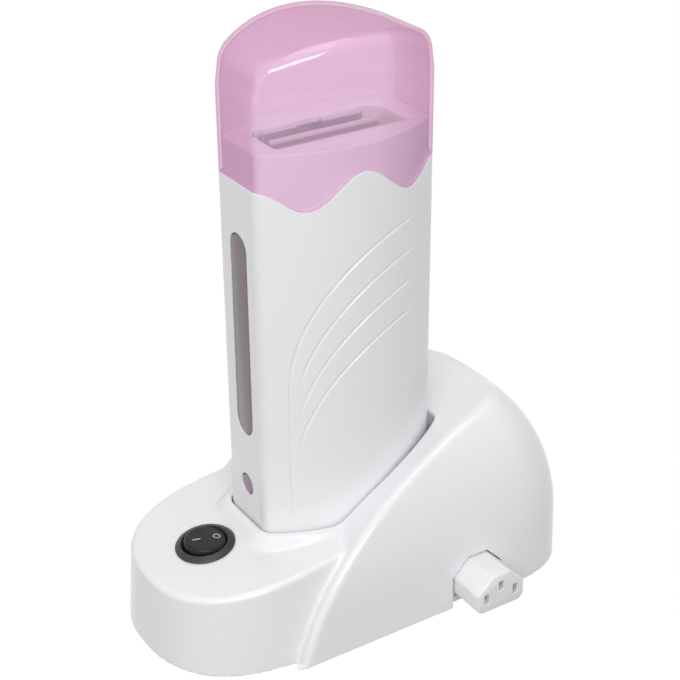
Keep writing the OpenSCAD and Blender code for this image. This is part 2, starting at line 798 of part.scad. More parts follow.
module cartridge_chamber() color([0.85, 0.84, 0.8]) difference() {
  translate([0, 0, chamber_z]) linear_extrude(deck_z - 0.1 - chamber_z) bay_section(chamber_wall);
  translate([0, 0, chamber_z + chamber_wall]) linear_extrude(deep) bay_section();
  // Cut-out for the heating plate in the far wall
  translate([-heater_len / 2 - 0.1, bay_far - 0.5, heater_z0 - 0.1]) cube([heater_len + 0.2, 3, deck_z]);
  // Slot for the window in the wall behind it
  along_x(-half_len, -20) translate([0, window_z])
    slot_section(window_w - 2 * window_bevel, window_h - 2 * window_bevel);
  // Bearings of the pressure plate's axle
  translate([0, press_y, press_z]) rotate([0, 90, 0])
    cylinder(d = axle_d + 0.1, h = bay_len + 10, center = true);
}

heater_z0 = 90;
heater_z1 = deck_z - 4;
tab_r = 1.2;
tab_y = bay_far - tab_r - 0.2;
tab_z = deck_z + 0.4;

// Flat aluminium plate with two tabs that are rolled over at the top
module heating_plate() color([0.75, 0.76, 0.78]) {
  translate([-heater_len / 2, bay_far, heater_z0]) cube([heater_len, heater_t, heater_z1 - heater_z0]);
  for (span = [[-21.8, -7.6], [3.2, 20]]) translate([span[0], 0, 0]) {
    w = span[1] - span[0];
    translate([0, tab_y - tab_r, heater_z1 - 1.5]) cube([w, bay_far + heater_t - tab_y + tab_r, 1.5]);
    translate([0, tab_y - tab_r, heater_z1 - 1]) cube([w, heater_t, tab_z - heater_z1 + 1]);
    translate([0, tab_y, tab_z]) rotate([0, 90, 0]) cylinder(r = tab_r, h = w);
  }
}

press_y = -bay_near + 1.9;
axle_d = 2.6;
press_top = deck_z + 0.4;

// Sprung plate with a rolled top edge, leaning into the empty bay
module pressure_plate() color([0.78, 0.79, 0.81]) {
  top_y = -bay_near + press_lean;
  lean_a = atan2(top_y - press_y, press_top - press_z);
  len_z = norm([top_y - press_y, press_top - press_z]);
  translate([0, press_y, press_z]) rotate([-lean_a, 0, 0]) {
    translate([-press_shift - press_len / 2, 0, 0]) {
      translate([0, -press_t / 2, 0]) cube([press_len, press_t, len_z]);
      translate([0, 0, len_z]) rotate([0, 90, 0]) cylinder(d = press_roll_d, h = press_len);
    }
    rotate([0, 90, 0]) cylinder(d = axle_d, h = bay_len + 2.4, center = true);
  }
}

ptc_y = bay_far + heater_t;

module ptc_heaters() color([0.35, 0.35, 0.36]) for (i = [0, 1])
  translate([-ptc_len / 2, ptc_y, ptc_z + i * ptc_step]) cube([ptc_len, ptc_t, ptc_h]);

// Spring clamp that holds the heaters to the plate
module heater_clamp() color([0.72, 0.72, 0.7]) difference() {
  rail = 2;
  end = 4;
  high = ptc_step + ptc_h + 2 * end;
  translate([-ptc_len / 2 - rail, ptc_y, ptc_z - end]) cube([ptc_len + 2 * rail, ptc_t + 1, high]);
  translate([-ptc_len / 2 - 0.2, ptc_y - 1, ptc_z - end - 1]) cube([ptc_len + 0.4, ptc_t + 1, high + 2]);
}

module thermostat() color([0.2, 0.2, 0.22]) {
  translate([-4, ptc_y, 91]) cube([8, 4, 6]);
  translate([0, ptc_y + 4, 94]) rotate([-90, 0, 0]) cylinder(d = 4, h = 1.2);
}

module thermal_fuse() color([0.85, 0.8, 0.6])
  translate([0, ptc_y + fuse_d / 2 + 0.1, ptc_z + ptc_step + ptc_h + 8]) rotate([0, 90, 0]) {
    cylinder(d = fuse_d, h = 11, center = true);
    cylinder(d = 0.9, h = 26, center = true);
  }

board_x = -half_len + 9;

module lamp_board() color([0.15, 0.4, 0.25])
  translate([board_x, -8, hpost_z + end_plate_t + 0.2]) cube([1.6, 16, 21.3]);

module indicator_lamp() color([0.9, 0.3, 0.3]) translate([board_x, 0, lamp_z]) rotate([0, -90, 0]) {
  cylinder(d = 5.6, h = 1);
  cylinder(d = 4.8, h = 2.6);
  translate([0, 0, 2.6]) sphere(d = 4.8);
}

// Lens button pushed into the shell from inside
module indicator_lens() color([0.8, 0.55, 0.68]) translate([-half_len, 0, lamp_z]) rotate([0, 90, 0]) {
  translate([0, 0, 0.2]) cylinder(d = lamp_d, h = handle_wall);
  translate([0, 0, handle_wall + 0.1]) cylinder(d = lamp_d + 3, h = 1);
}

// Smoky lens behind the window slot, with a stepped rim
module window_lens() color([0.6, 0.53, 0.58]) {
  w = window_w - 2 * window_bevel;
  h = window_h - 2 * window_bevel;
  at = [0, window_z];
  inner = -half_len + handle_wall + 0.1;
  along_x(-half_len + window_bevel + 0.4, inner) translate(at) slot_section(w - 0.2, h - 0.2);
  along_x(inner, inner + 1.5) translate(at) slot_section(w + 3, h + 3);
}

module handle_wiring() color([0.5, 0.25, 0.2]) {
  r = 0.8;
  for (s = [-1, 1])
    wire([
      [s * 12, 0, handle_z + end_plate_t + 1.3], [s * 12, 3, 34], [s * 8, 13.2, 60], [s * 8, 13.2, 103.8]
    ], r);
  wire([[board_x + 2.2, 4, 51], [-20, 6, 44], [-13.4, 4.2, 36.2]], r);
}

// ---------------------------------------------------------------------------------------------------
// Cap

// Arched side view of the cap, inset by g: one wide arc that runs into two tight ones
module cap_profile(g = 0) {
  side = half_len + 0.1;
  cx = side - cap_end_r;
  reach = cap_arch_r - cap_end_r;
  centre = cap_top - cap_arch_r;
  cz = centre + sqrt(reach * reach - cx * cx);
  turn = asin(cx / reach);
  half = concat(
    [for (i = [0 : 12]) let (t = turn * i / 12)
      [(cap_arch_r - g) * sin(t), centre + (cap_arch_r - g) * cos(t)]],
    [for (i = [1 : 8]) let (t = turn + (90 - turn) * i / 8)
      [cx + (cap_end_r - g) * sin(t), cz + (cap_end_r - g) * cos(t)]],
    [[side - g, 150]]
  );
  n = len(half) - 1;
  polygon(concat(half, [for (i = [n : -1 : 1]) [-half[i][0], half[i][1]]]));
}

module cap() color([0.93, 0.7, 0.88, 0.6]) difference() {
  intersection() {
    translate([0, 0, trough_z - 15]) linear_extrude(cap_top - trough_z + 15) handle_section();
    along_y(-crown - 1, crown + 1) cap_profile();
    wave_side(true, cap_gap);
  }
  intersection() {
    translate([0, 0, trough_z - 25]) linear_extrude(cap_top - trough_z + 25) handle_section(-cap_wall);
    along_y(-crown - 1, crown + 1) cap_profile(cap_wall);
  }
}

// ---------------------------------------------------------------------------------------------------

base_shell();
bottom_plate();
rubber_feet();
base_screws();
switch_housing();
switch_rocker();
switch_terminals();
outlet_body();
outlet_contacts();
inlet_body();
inlet_pins();
contact_block();
spring_front();
spring_rear();
plunger_front();
plunger_rear();
base_wiring();
handle_shell();
end_plate();
handle_screws();
contact_pads();
cartridge_chamber();
heating_plate();
pressure_plate();
ptc_heaters();
heater_clamp();
thermostat();
thermal_fuse();
lamp_board();
indicator_lamp();
indicator_lens();
window_lens();
handle_wiring();
cap();
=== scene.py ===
# Looks of the roll on wax heater. Lengths are in millimetres here and become metres when a mesh is made.
import bpy
import math
import numpy as np
from mathutils import Matrix, Vector


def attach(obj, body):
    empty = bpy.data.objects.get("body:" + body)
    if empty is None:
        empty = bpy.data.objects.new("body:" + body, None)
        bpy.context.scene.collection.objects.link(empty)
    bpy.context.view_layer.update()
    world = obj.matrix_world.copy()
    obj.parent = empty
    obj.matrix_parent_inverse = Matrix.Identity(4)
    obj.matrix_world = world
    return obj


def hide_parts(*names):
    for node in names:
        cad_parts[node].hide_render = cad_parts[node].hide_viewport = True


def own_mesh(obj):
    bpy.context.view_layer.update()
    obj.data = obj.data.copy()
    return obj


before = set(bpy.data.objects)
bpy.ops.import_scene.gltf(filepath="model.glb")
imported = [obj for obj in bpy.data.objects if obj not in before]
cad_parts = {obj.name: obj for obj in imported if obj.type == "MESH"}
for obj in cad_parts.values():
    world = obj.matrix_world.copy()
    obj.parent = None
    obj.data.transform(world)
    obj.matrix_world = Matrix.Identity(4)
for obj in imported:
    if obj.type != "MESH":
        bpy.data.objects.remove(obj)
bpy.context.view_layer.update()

MM = 0.001
scene = bpy.context.scene

# ---------------------------------------------------------------- camera
# side of the picture and focal length in pixels, width of the film in mm, and where the camera stands
PICTURE_PX, FOCAL_PX, FILM = 680, 1602.84, 36
CAMERA_SPOT = (-290.5, -463.2, 398.4)
az, el, roll = math.radians(-32.56), math.radians(27.90), math.radians(-0.43)
forward = Vector((-math.sin(az) * math.cos(el), math.cos(az) * math.cos(el), -math.sin(el)))
level = Vector((math.cos(az), math.sin(az), 0))
above = level.cross(forward)
cam_x = level * math.cos(roll) + above * math.sin(roll)
cam_y = above * math.cos(roll) - level * math.sin(roll)
cam_data = bpy.data.cameras.new("camera")
cam_data.sensor_width = FILM
cam_data.lens = FOCAL_PX / PICTURE_PX * FILM
cam_data.clip_start = 0.01
cam_data.shift_x, cam_data.shift_y = -0.0008, 0.0013
camera = bpy.data.objects.new("camera", cam_data)
stance = Matrix((cam_x, cam_y, -forward)).transposed().to_4x4()
camera.matrix_world = Matrix.Translation(Vector(CAMERA_SPOT) * MM) @ stance
scene.collection.objects.link(camera)
scene.camera = camera
scene.view_settings.view_transform = "Standard"
scene.view_settings.look = "None"


# ---------------------------------------------------------------- materials
def linear(code):
    """sRGB hex to linear RGBA"""
    part = [int(code[i:i + 2], 16) / 255 for i in (1, 3, 5)]
    return tuple(c / 12.92 if c <= 0.04045 else ((c + 0.055) / 1.055) ** 2.4 for c in part) + (1.0,)


def add(tree, kind, inputs=None, **settings):
    """Adds a node; inputs may be values or sockets of other nodes"""
    made = tree.nodes.new(kind)
    for key, value in settings.items():
        setattr(made, key, value)
    for key, value in (inputs or {}).items():
        if isinstance(value, bpy.types.NodeSocket):
            tree.links.new(value, made.inputs[key])
        else:
            made.inputs[key].default_value = value
    return made


def surface(name, colour, rough=0.3, tint=None, patch=25.0, grain=0.5, depth=0.004, vary=0.05,
            stretch=(1, 1, 1), shader=None, clear=None, through=None, share=0.0, aslant="#FFFFFF"):
    """Principled material: colour drifts to tint over patches, roughness varies, fine grain as bump (mm).

    A clear plastic lets its share of the light through under a glossy skin: toned clear where it is faced and
    aslant where it is seen from the side. Its colour through is what it leaves of a lamp's light.
    """
    made = bpy.data.materials.new(name)
    made.use_nodes = True
    tree = made.node_tree
    tree.nodes.clear()
    place = add(tree, "ShaderNodeTexCoord")
    spread = add(tree, "ShaderNodeMapping", {"Vector": place.outputs["Object"], "Scale": stretch})
    drift = add(tree, "ShaderNodeTexNoise", {
        "Vector": spread.outputs["Vector"], "Scale": 1000 / patch, "Detail": 2.0})
    paint = add(tree, "ShaderNodeMix", {
        0: drift.outputs["Fac"], 6: linear(colour), 7: linear(tint or colour)}, data_type="RGBA")
    fine = add(tree, "ShaderNodeTexNoise", {
        "Vector": spread.outputs["Vector"], "Scale": 1000 / grain, "Detail": 3.0})
    shine = add(tree, "ShaderNodeMapRange", {
        "Value": drift.outputs["Fac"], "From Min": 0.3, "From Max": 0.7,
        "To Min": max(0.02, rough - vary), "To Max": rough + vary})
    bump = add(tree, "ShaderNodeBump", {
        "Height": fine.outputs["Fac"], "Distance": depth * MM, "Strength": 1.0})
    body = add(tree, "ShaderNodeBsdfPrincipled", {
        "Base Color": paint.outputs[2], "Roughness": shine.outputs["Result"],
        "Normal": bump.outputs["Normal"]})
    for key, value in (shader or {}).items():
        body.inputs[key].default_value = value
    shown = body.outputs["BSDF"]
    if clear:
        facing = add(tree, "ShaderNodeLayerWeight", {"Blend": 0.5})
        slant = add(tree, "ShaderNodeMapRange", {
            "Value": facing.outputs["Facing"], "From Min": 0.27, "From Max": 0.95})
        tone = add(tree, "ShaderNodeMix", {
            0: slant.outputs["Result"], 6: linear(clear), 7: linear(aslant)}, data_type="RGBA")
        glass = add(tree, "ShaderNodeBsdfTransparent", {"Color": tone.outputs[2]})
        wall = add(tree, "ShaderNodeMixShader", {0: share, 1: shown, 2: glass.outputs["BSDF"]})
        skin = add(tree, "ShaderNodeBsdfGlossy", {"Roughness": 0.05, "Normal": bump.outputs["Normal"]})
        steep = add(tree, "ShaderNodeMath", {0: facing.outputs["Facing"], 1: 5.0}, operation="POWER")
        sheen = add(tree, "ShaderNodeMapRange", {"Value": steep.outputs[0], "To Min": 0.045, "To Max": 0.3})
        coated = add(tree, "ShaderNodeMixShader", {
            0: sheen.outputs["Result"], 1: wall.outputs["Shader"], 2: skin.outputs["BSDF"]})
        # light goes through the thin wall with little loss
        ray = add(tree, "ShaderNodeLightPath")
        passed = add(tree, "ShaderNodeBsdfTransparent", {"Color": linear(through or clear)})
        lit = add(tree, "ShaderNodeMixShader", {
            0: ray.outputs["Is Shadow Ray"], 1: coated.outputs["Shader"], 2: passed.outputs["BSDF"]})
        shown = lit.outputs["Shader"]
    add(tree, "ShaderNodeOutputMaterial", {"Surface": shown})
    return made


METAL = {"Metallic": 1.0}
# a glossy moulded white plastic: a thin clear skin, and light that spreads a few mm inside
GLOSS = {"Coat Weight": 0.35, "Coat Roughness": 0.05, "IOR": 1.53, "Subsurface Weight": 0.04,
         "Subsurface Radius": (0.004, 0.004, 0.004)}
# glossy moulded ABS of base and handle: even cool white, with soft long highlights
white_abs = surface("white_abs", "#EDEDEF", 0.22, "#E9E9EC", 60, 1.6, 0.0012, 0.03, shader=GLOSS)
# glossy moulded nylon of the outlet: cooler and a little brighter than the ABS beside it
white_nylon = surface("white_nylon", "#E9E9EB", 0.28, "#E4E4E7", 20, 0.8, 0.002, 0.04, shader=GLOSS)
# the same white nylon in the depth of the slots, painted grey as the shade that fills them
painted_slot_shade = surface("painted_slot_shade", "#8E8E92", 0.5, "#808084", 3, 0.3, 0.004, 0.05)
# white ABS from an etched mould, of the underside and of the handle's end: fine grain and no highlight
matt_abs = surface("matt_abs", "#E2E2E4", 0.55, "#DADADD", 15, 0.25, 0.012, 0.05)
# clear pink styrene of the cap, moulded in a polished tool: see-through when faced, with a little haze,
# deeper pink where the wall is seen from the side, and a sharp highlight
pink_styrene = surface("pink_styrene", "#F1C8E6", 0.10, "#EEC2E2", 30, 3.0, 0.0008, 0.02, clear="#F8F0F6",
                       through="#FFFAFF", share=0.8, aslant="#E6BFD8", shader={"Coat Weight": 0.3})
# smoky pink acrylic of the window: half hides the chamber behind it, under a flat gloss
smoky_acrylic = surface("smoky_acrylic", "#8E7D87", 0.12, "#7C6D76", 40, 2.5, 0.001, 0.03, clear="#C9BCC4",
                        through="#E8E2E6", share=0.35, aslant="#75656E", shader={"Coat Weight": 0.5})
# dark acrylic for the rims of window pane and indicator: a painted shade of the recess round each lens
painted_rim_shade = surface("painted_rim_shade", "#5F565B", 0.25, "#564D52", 10, 1.0, 0.002, 0.05)
# diffusing pink acrylic of the indicator: milky, since light spreads inside it
pink_acrylic = surface("pink_acrylic", "#9C8090", 0.25, "#917585", 5, 1.0, 0.002, 0.05, shader={
    "Subsurface Weight": 0.4, "Subsurface Radius": (0.002, 0.001, 0.0015), "Coat Weight": 0.3})
# satin black nylon of the switch's bezel: dull grey sheen on its turned edge
black_nylon = surface("black_nylon", "#303033", 0.38, "#29292C", 6, 0.3, 0.004, 0.06)
# moulded black nylon of the rocker: deeper black, with less of a mirror than its bezel
black_gloss = surface("black_gloss", "#1F1F21", 0.34, "#1A1A1C", 8, 0.6, 0.002, 0.05, shader={
    "Specular IOR Level": 0.25})
# pad-printed pale grey ink of the marks: flat and matt on the gloss
mark_paint = surface("mark_paint", "#AFAFB1", 0.5, "#A4A4A6", 2, 0.2, 0.003, 0.05)
# satin black nylon of the inlet and of the contact block: dark, with soft broad highlights
socket_nylon = surface("socket_nylon", "#2B2B2D", 0.42, "#252527", 8, 0.3, 0.006, 0.06)
# brushed aluminium of the plates: bright strokes that run along their length
aluminium = surface("aluminium", "#E0E0E3", 0.42, "#D2D2D6", 6, 0.35, 0.004, 0.08, (0.15, 1, 1), METAL)
# zinc-plated steel of screws, springs and clamp: cool grey with a faint warm bloom
zinc_steel = surface("zinc_steel", "#B9B9BC", 0.34, "#A9A9A4", 3, 0.25, 0.004, 0.08, shader=METAL)
# turned brass of plungers and contacts: warm yellow and bright
brass = surface("brass", "#D2B068", 0.28, "#C39F56", 3, 0.2, 0.003, 0.07, shader=METAL)
# nickel-plated brass of pins and terminals: polished, slightly warmer than zinc
nickel = surface("nickel", "#CFCBC0", 0.24, "#C2BDB0", 3, 0.3, 0.002, 0.06, shader=METAL)
# moulded polyphenylene sulphide of the cartridge chamber: ivory, satin and opaque
ivory_pps = surface("ivory_pps", "#F0ECE4", 0.45, "#E9E4DA", 12, 0.3, 0.006, 0.06)
# sintered ceramic of the heaters: dark grey, dry and slightly speckled
grey_ceramic = surface("grey_ceramic", "#6A6A6D", 0.6, "#58585B", 4, 0.15, 0.01, 0.08)
# pressed phenolic of the thermostat: brownish black with a dull skin
phenolic = surface("phenolic", "#2A2725", 0.5, "#221F1E", 3, 0.2, 0.008, 0.06)
# tinned case of the thermal fuse under pale resin: a yellowish metal sheen
fuse_body = surface("fuse_body", "#D9CFA8", 0.35, "#C9BE93", 2, 0.2, 0.003, 0.05, shader={
    "Metallic": 0.6})
# lacquered glass-epoxy of the circuit board: deep green under a clear gloss, with the weave as fine grain
glass_epoxy = surface("glass_epoxy", "#2F6B48", 0.35, "#275C3D", 3, 0.35, 0.006, 0.05, shader={
    "Coat Weight": 0.4})
# cast red epoxy of the lamp: glows a little from inside
red_epoxy = surface("red_epoxy", "#C94A50", 0.2, "#B94046", 3, 0.8, 0.001, 0.04, shader={
    "Transmission Weight": 0.3})
# extruded PVC of the wires' insulation: brown in the base and blue in the handle, softly shiny
pvc_brown = surface("pvc_brown", "#6B4630", 0.42, "#5F3D2A", 8, 0.5, 0.004, 0.05)
pvc_blue = surface("pvc_blue", "#3B5F8F", 0.42, "#345581", 8, 0.5, 0.004, 0.05)
# moulded black rubber of the feet: matt and slightly rough
rubber = surface("rubber", "#2E2E2F", 0.8, "#262627", 4, 0.2, 0.02, 0.06)
# pale floor, not part of the object: it glows white by itself and mirrors almost nothing
floor_paint = surface("floor_paint", "#3A3A3A", 0.9, "#383838", 200, 20, 0.0, 0.02, shader={
    "Emission Color": (1, 1, 1, 1), "Emission Strength": 0.98, "Specular IOR Level": 0.0})


# ---------------------------------------------------------------- sizes shared by several pieces
# the handle's outline: a core of two bows, whose middles lie this far behind the handle's own, cut off at its
# ends and grown by the corners' rounding
BOW_R, BOW_BACK, CORE_HALF, CORNER = 62, 42.4, 32.4, 6
BOW_OUT = BOW_R + CORNER
# the cap's arch: radius and centre height of its core, half its width and the rounding of its shoulders
ARCH_R, ARCH_Z, ARCH_HALF, ARCH_ROUND = 74.0, 151.7, 27.5, 11
# where the arch's shoulders end, and how far down the hood is made before its wave is cut
ARCH_FOOT, CAP_LOW = 221, 168
# thickness of the cap's wall, and the roundings of its edge outside and inside
CAP_WALL, CAP_EDGE, CAP_EDGE_IN = 1.5, 4.5, 3.2
# the wave round the collar: its middle hump is this wide to each side
WAVE_HALF = 22
# the collar stands in from the handle's side by COLLAR_IN; walls of handle, collar and base
COLLAR_IN, HANDLE_WALL, COLLAR_WALL, BASE_WALL = 1.8, 2.4, 3.8, 2.4
# the platform: its end that faces the user, the height of its top there, and the slope of its top
TOE_X, TOE_Z, SLOPE_DEG = 86.8, 32.2, 7.6
SLOPE = math.tan(math.radians(SLOPE_DEG))
# the platform's outline: middle, half length, half width and power, and how far its walls draw in to the top
PLATFORM_X, PLATFORM_A, PLATFORM_B, PLATFORM_N, PLATFORM_DRAFT = -36.8, 50, 43, 2.4, 2.2
# the swell round the handle's foot: its height, how far out it starts, and the width of its slope
SWELL_Z, SWELL_OUT, SWELL_WIDE = 42.8, 8.7, 7
# the heel's outline: middle, half length, half width and power at the floor, and its draft per mm of height
HEEL_X, HEEL_A, HEEL_B, HEEL_N, HEEL_DRAFT = 55.6, 40.6, 48.6, 2.8, 0.03
# the heel's dome: where it starts, how tall it is, and how far it leans in along x and along y
DOME_Z, DOME_TALL, DOME_IN_X, DOME_IN_Y = 22, 62, 49, 37
# how much the scoop that cuts the dome curves up to both sides
SCOOP_CURVE = 0.0045
# gap round the handle in its well, the well's floor, and the underside of that floor
WELL_GAP, WELL_FLOOR, WELL_UNDER = 0.7, 19.7, 17.3
# the round switch lies in the platform's top, and is turned so that its marks read aslant
SWITCH_X, SWITCH_TURN, ROCKER_TILT = -58, -15, 11
# radius of the rocker, height of its top over its pivot, and how steeply its two faces slope
ROCKER_R, ROCKER_TOP, ROCKER_FALL = 8.6, 3.2, 4
# middle of outlet and inlet in (x, z), half width of the three-slot connector, and its slots round the middle
MAINS_X, MAINS_Z = 39, 14
CONNECTOR_HALF = 11.4
SLOTS = ((-7, -1.7), (7, -1.7), (0, 2.3))
# screws of the bottom plate and of the handle's end plate, and the feet
BASE_SCREWS = ((-74.9, 0), (-22, 34), (-22, -34), (62, 33), (62, -33))
HANDLE_SCREWS = ((-31.5, -6.5), (-31.5, 6.5), (31.5, -6.5), (31.5, 6.5))
FEET = ((-62, 24), (-62, -24), (74, 26), (74, -26))
# height of the window's and of the indicator's middle
WINDOW_Z, LAMP_Z = 121.8, 57.2


# ---------------------------------------------------------------- shapes as distance fields
def lens_distance(x, y, radius, half):
    """Signed distance to a disc of that radius round the origin, cut off at |x| = half, for y > 0"""
    x = np.abs(x)
    h = np.hypot(x, y)
    corner_y = math.sqrt(radius * radius - half * half)
    d = np.maximum(h - radius, x - half)
    past = (x * radius > half * h) & (y > corner_y) & (x > half)
    return np.where(past, np.hypot(x - half, y - corner_y), d)


def section(x, y):
    """Distance to the handle's bowed outline"""
    return lens_distance(x, np.abs(y) + BOW_BACK, BOW_R, CORE_HALF) - CORNER


def arch(x, z):
    """Distance to the cap's arched side view"""
    return lens_distance(x, z - ARCH_Z, ARCH_R, ARCH_HALF) - ARCH_ROUND


def wave_at(x):
    """Height of the wavy step between handle and collar, which the cap's edge follows"""
    x = np.abs(x)
    mid = 181.5 + 6 * np.cos(np.pi * np.minimum(x, WAVE_HALF) / WAVE_HALF)
    out = 175.5 + 4 * (1 - np.cos(np.pi * np.clip((x - WAVE_HALF) / 16.4, 0, 1)))
    return np.where(x < WAVE_HALF, mid, out)


def both(a, b, r):
    """Rounded intersection of two distances"""
    return np.minimum(-r, np.maximum(a, b)) + np.hypot(np.maximum(r + a, 0), np.maximum(r + b, 0))


def either(a, b, r):
    """Rounded union of two distances"""
    return -both(-a, -b, r)


def oval(x, y, a, b, n):
    """Distance to a superellipse of half axes a and b"""
    u, v = np.maximum(x, 0) / a, np.abs(y) / b
    s = np.maximum(u ** n + v ** n, 1e-9)
    r = s ** (1 / n)
    slope = s ** (1 / n - 1) * np.hypot(u ** (n - 1) / a, v ** (n - 1) / b)
    return (r - 1) / np.maximum(slope, 1e-4)


# crest line of the scoop as a curve with four handles in (x, z), run on straight at both ends
crest = [(-42.8, -8), (-29.2, 37), (4.8, 60), (66.8, 75.6)]
gone = np.linspace(0, 1, 400)
left = 1 - gone
crest_x, crest_z = (left ** 3 * crest[0][i] + 3 * left ** 2 * gone * crest[1][i]
                    + 3 * left * gone ** 2 * crest[2][i] + gone ** 3 * crest[3][i] for i in (0, 1))
crest_x = np.concatenate([[-72.8], crest_x, [73, 110]])
crest_z = np.concatenate([[-20], crest_z, [84, 120]])


def base_form(p):
    """Base without its well: platform with its swell, and domed heel under the scoop"""
    x, y, z = p[..., 0], p[..., 1], p[..., 2]
    # platform: drafted walls, sloping top, and a swell that rises to the handle's foot
    top = TOE_Z + SLOPE * (x + TOE_X)
    inset = PLATFORM_DRAFT * np.clip(z / (top - 3), 0, 1.2)
    side = oval(PLATFORM_X - x, y, PLATFORM_A - inset, PLATFORM_B - inset, PLATFORM_N)
    rise = (1 - np.cos(np.pi * np.clip((SWELL_OUT - section(x, y)) / SWELL_WIDE, 0, 1))) / 2
    high = top + np.maximum(0, SWELL_Z - top) * rise
    platform = both(side, (z - high) * 0.96, 2.0)
    platform = both(platform, x - 60, 1.0)
    # heel: a dome that leans in more with height, cut by the scoop under the crest line
    u = np.clip((z - DOME_Z) / DOME_TALL, 0, 0.995)
    reach = 1 - np.sqrt(1 - u * u)
    lean = HEEL_DRAFT + (DOME_IN_X + DOME_IN_Y) / 2 * u / (DOME_TALL * np.sqrt(1 - u * u))
    half_x = np.maximum(HEEL_A - HEEL_DRAFT * z - DOME_IN_X * reach, 2)
    half_y = np.maximum(HEEL_B - HEEL_DRAFT * z - DOME_IN_Y * reach, 2)
    wall = oval(x - HEEL_X, y, half_x, half_y, HEEL_N)
    wall = wall / np.sqrt(1 + lean * lean)
    line = np.interp(x, crest_x, crest_z)
    steep = np.interp(x + 0.5, crest_x, crest_z) - np.interp(x - 0.5, crest_x, crest_z)
    scoop = (z - line - SCOOP_CURVE * y * y) / np.sqrt(1 + steep ** 2 + (2 * SCOOP_CURVE * y) ** 2)
    return either(platform, both(wall, scoop, 3.0), 1.5)


def well(p, grow, floor):
    """The well that the handle stands in, 2.6 mm longer than the handle, grown by its wall"""
    x, y, z = p[..., 0], p[..., 1], p[..., 2]
    return np.maximum(section(x - np.clip(x, 0, 2.6), y) - WELL_GAP - grow, floor - z)


def base_outside(p):
    return both(both(base_form(p), -p[..., 2], 0.8), -well(p, 0, WELL_FLOOR), 0.8)


def base_inside(p):
    hollow = np.maximum(base_form(p) + BASE_WALL, -well(p, BASE_WALL, WELL_UNDER))
    return np.maximum(hollow, -3 - p[..., 2])


def cap_form(p, inset, edge):
    """Hood of the cap; its top edge is rounded, and under the arch its ends follow the outline alone"""
    x, y, z = p[..., 0], p[..., 1], p[..., 2]
    roof = arch(x, z) - 0.5 * np.maximum(0, ARCH_FOOT - z)
    return both(both(section(x, y) + inset, roof + inset, edge), CAP_LOW - z, 0.3)


def rocker_form(p):
    """Rocker: a ball cut by a top of two faces that fall away to both ends"""
    x, y, z = p[..., 0], p[..., 1], p[..., 2]
    ball = np.sqrt(x * x + y * y + z * z) - ROCKER_R
    c, s = math.cos(math.radians(ROCKER_FALL)), math.sin(math.radians(ROCKER_FALL))
    roof = np.maximum(z * c + x * s - ROCKER_TOP, z * c - x * s - ROCKER_TOP)
    return both(both(ball, roof, 0.7), -4 - z, 0.3)


def slope_of(field, p, h=0.02):
    """Gradient of a field by small steps"""
    out = np.empty_like(p)
    for k in range(3):
        e = np.zeros(3)
        e[k] = h
        out[:, k] = (field(p + e) - field(p - e)) / (2 * h)
    return out


def net(field, low, high, size):
    """Closed quad mesh of field = 0, one point in each grid cell that the surface crosses"""
    low, high = np.array(low, float), np.array(high, float)
    count = np.ceil((high - low) / size).astype(int) + 1
    axes = [low[k] + size * np.arange(count[k]) for k in range(3)]
    value = np.empty(count)
    for i, x in enumerate(axes[0]):
        grid = np.stack(np.broadcast_arrays(x, axes[1][:, None], axes[2][None, :]), -1)
        value[i] = field(grid)
    value[np.abs(value) < 1e-6] = 1e-6
    inside = value < 0
    corner = [(i, j, k) for i in (0, 1) for j in (0, 1) for k in (0, 1)]
    n = count - 1

    def at(array, c):
        return array[c[0]:c[0] + n[0], c[1]:c[1] + n[1], c[2]:c[2] + n[2]]

    total = sum(at(inside, c).astype(np.int8) for c in corner)
    cell = np.argwhere((total > 0) & (total < 8))
    index = -np.ones(n, int)
    index[tuple(cell.T)] = np.arange(len(cell))
    place = np.zeros((len(cell), 3))
    hits = np.zeros(len(cell))
    for c in corner:
        for k in range(3):
            if c[k] == 0:
                d = list(c)
                d[k] = 1
                a = value[tuple((cell + c).T)]
                b = value[tuple((cell + d).T)]
                crossing = (a < 0) != (b < 0)
                t = np.where(crossing, a / np.where(crossing, a - b, 1), 0)
                spot = np.tile(np.array(c, float), (len(cell), 1))
                spot[:, k] = t
                place[crossing] += spot[crossing]
                hits[crossing] += 1
    points = low + size * (cell + place / hits[:, None])
    faces = []
    for k in range(3):
        u, v = (k + 1) % 3, (k + 2) % 3
        a = [slice(1, -1)] * 3
        b = [slice(1, -1)] * 3
        a[k], b[k] = slice(0, -1), slice(1, None)
        change = inside[tuple(a)] != inside[tuple(b)]
        spot = np.argwhere(change)
        spot[:, u] += 1
        spot[:, v] += 1
        outward = inside[tuple(spot.T)]
        du, dv = np.zeros(3, int), np.zeros(3, int)
        du[u], dv[v] = 1, 1
        ring = [index[tuple((spot - s * du - t * dv).T)] for s, t in ((0, 0), (1, 0), (1, 1), (0, 1))]
        quad = np.stack(ring, 1)
        quad[~outward] = quad[~outward][:, ::-1]
        faces.append(quad)
    for _ in range(6):
        g = slope_of(field, points)
        move = field(points)[:, None] * g / np.maximum((g * g).sum(1), 0.05)[:, None]
        points -= np.clip(move, -0.4 * size, 0.4 * size)
    return points, np.concatenate(faces)


# ---------------------------------------------------------------- mesh helpers
def ring_loft(rings, closed=True):
    """Skin over rings of equal length, low to high, each going anticlockwise; ends closed by one face"""
    n = len(rings[0])
    points = np.concatenate(rings)
    j = np.arange(n)
    k = (j + 1) % n
    faces = [list(f) for i in range(len(rings) - 1)
             for f in np.stack([i * n + j, i * n + k, (i + 1) * n + k, (i + 1) * n + j], 1)]
    if closed:
        faces += [list(j[::-1]), list((len(rings) - 1) * n + j)]
    return points, faces


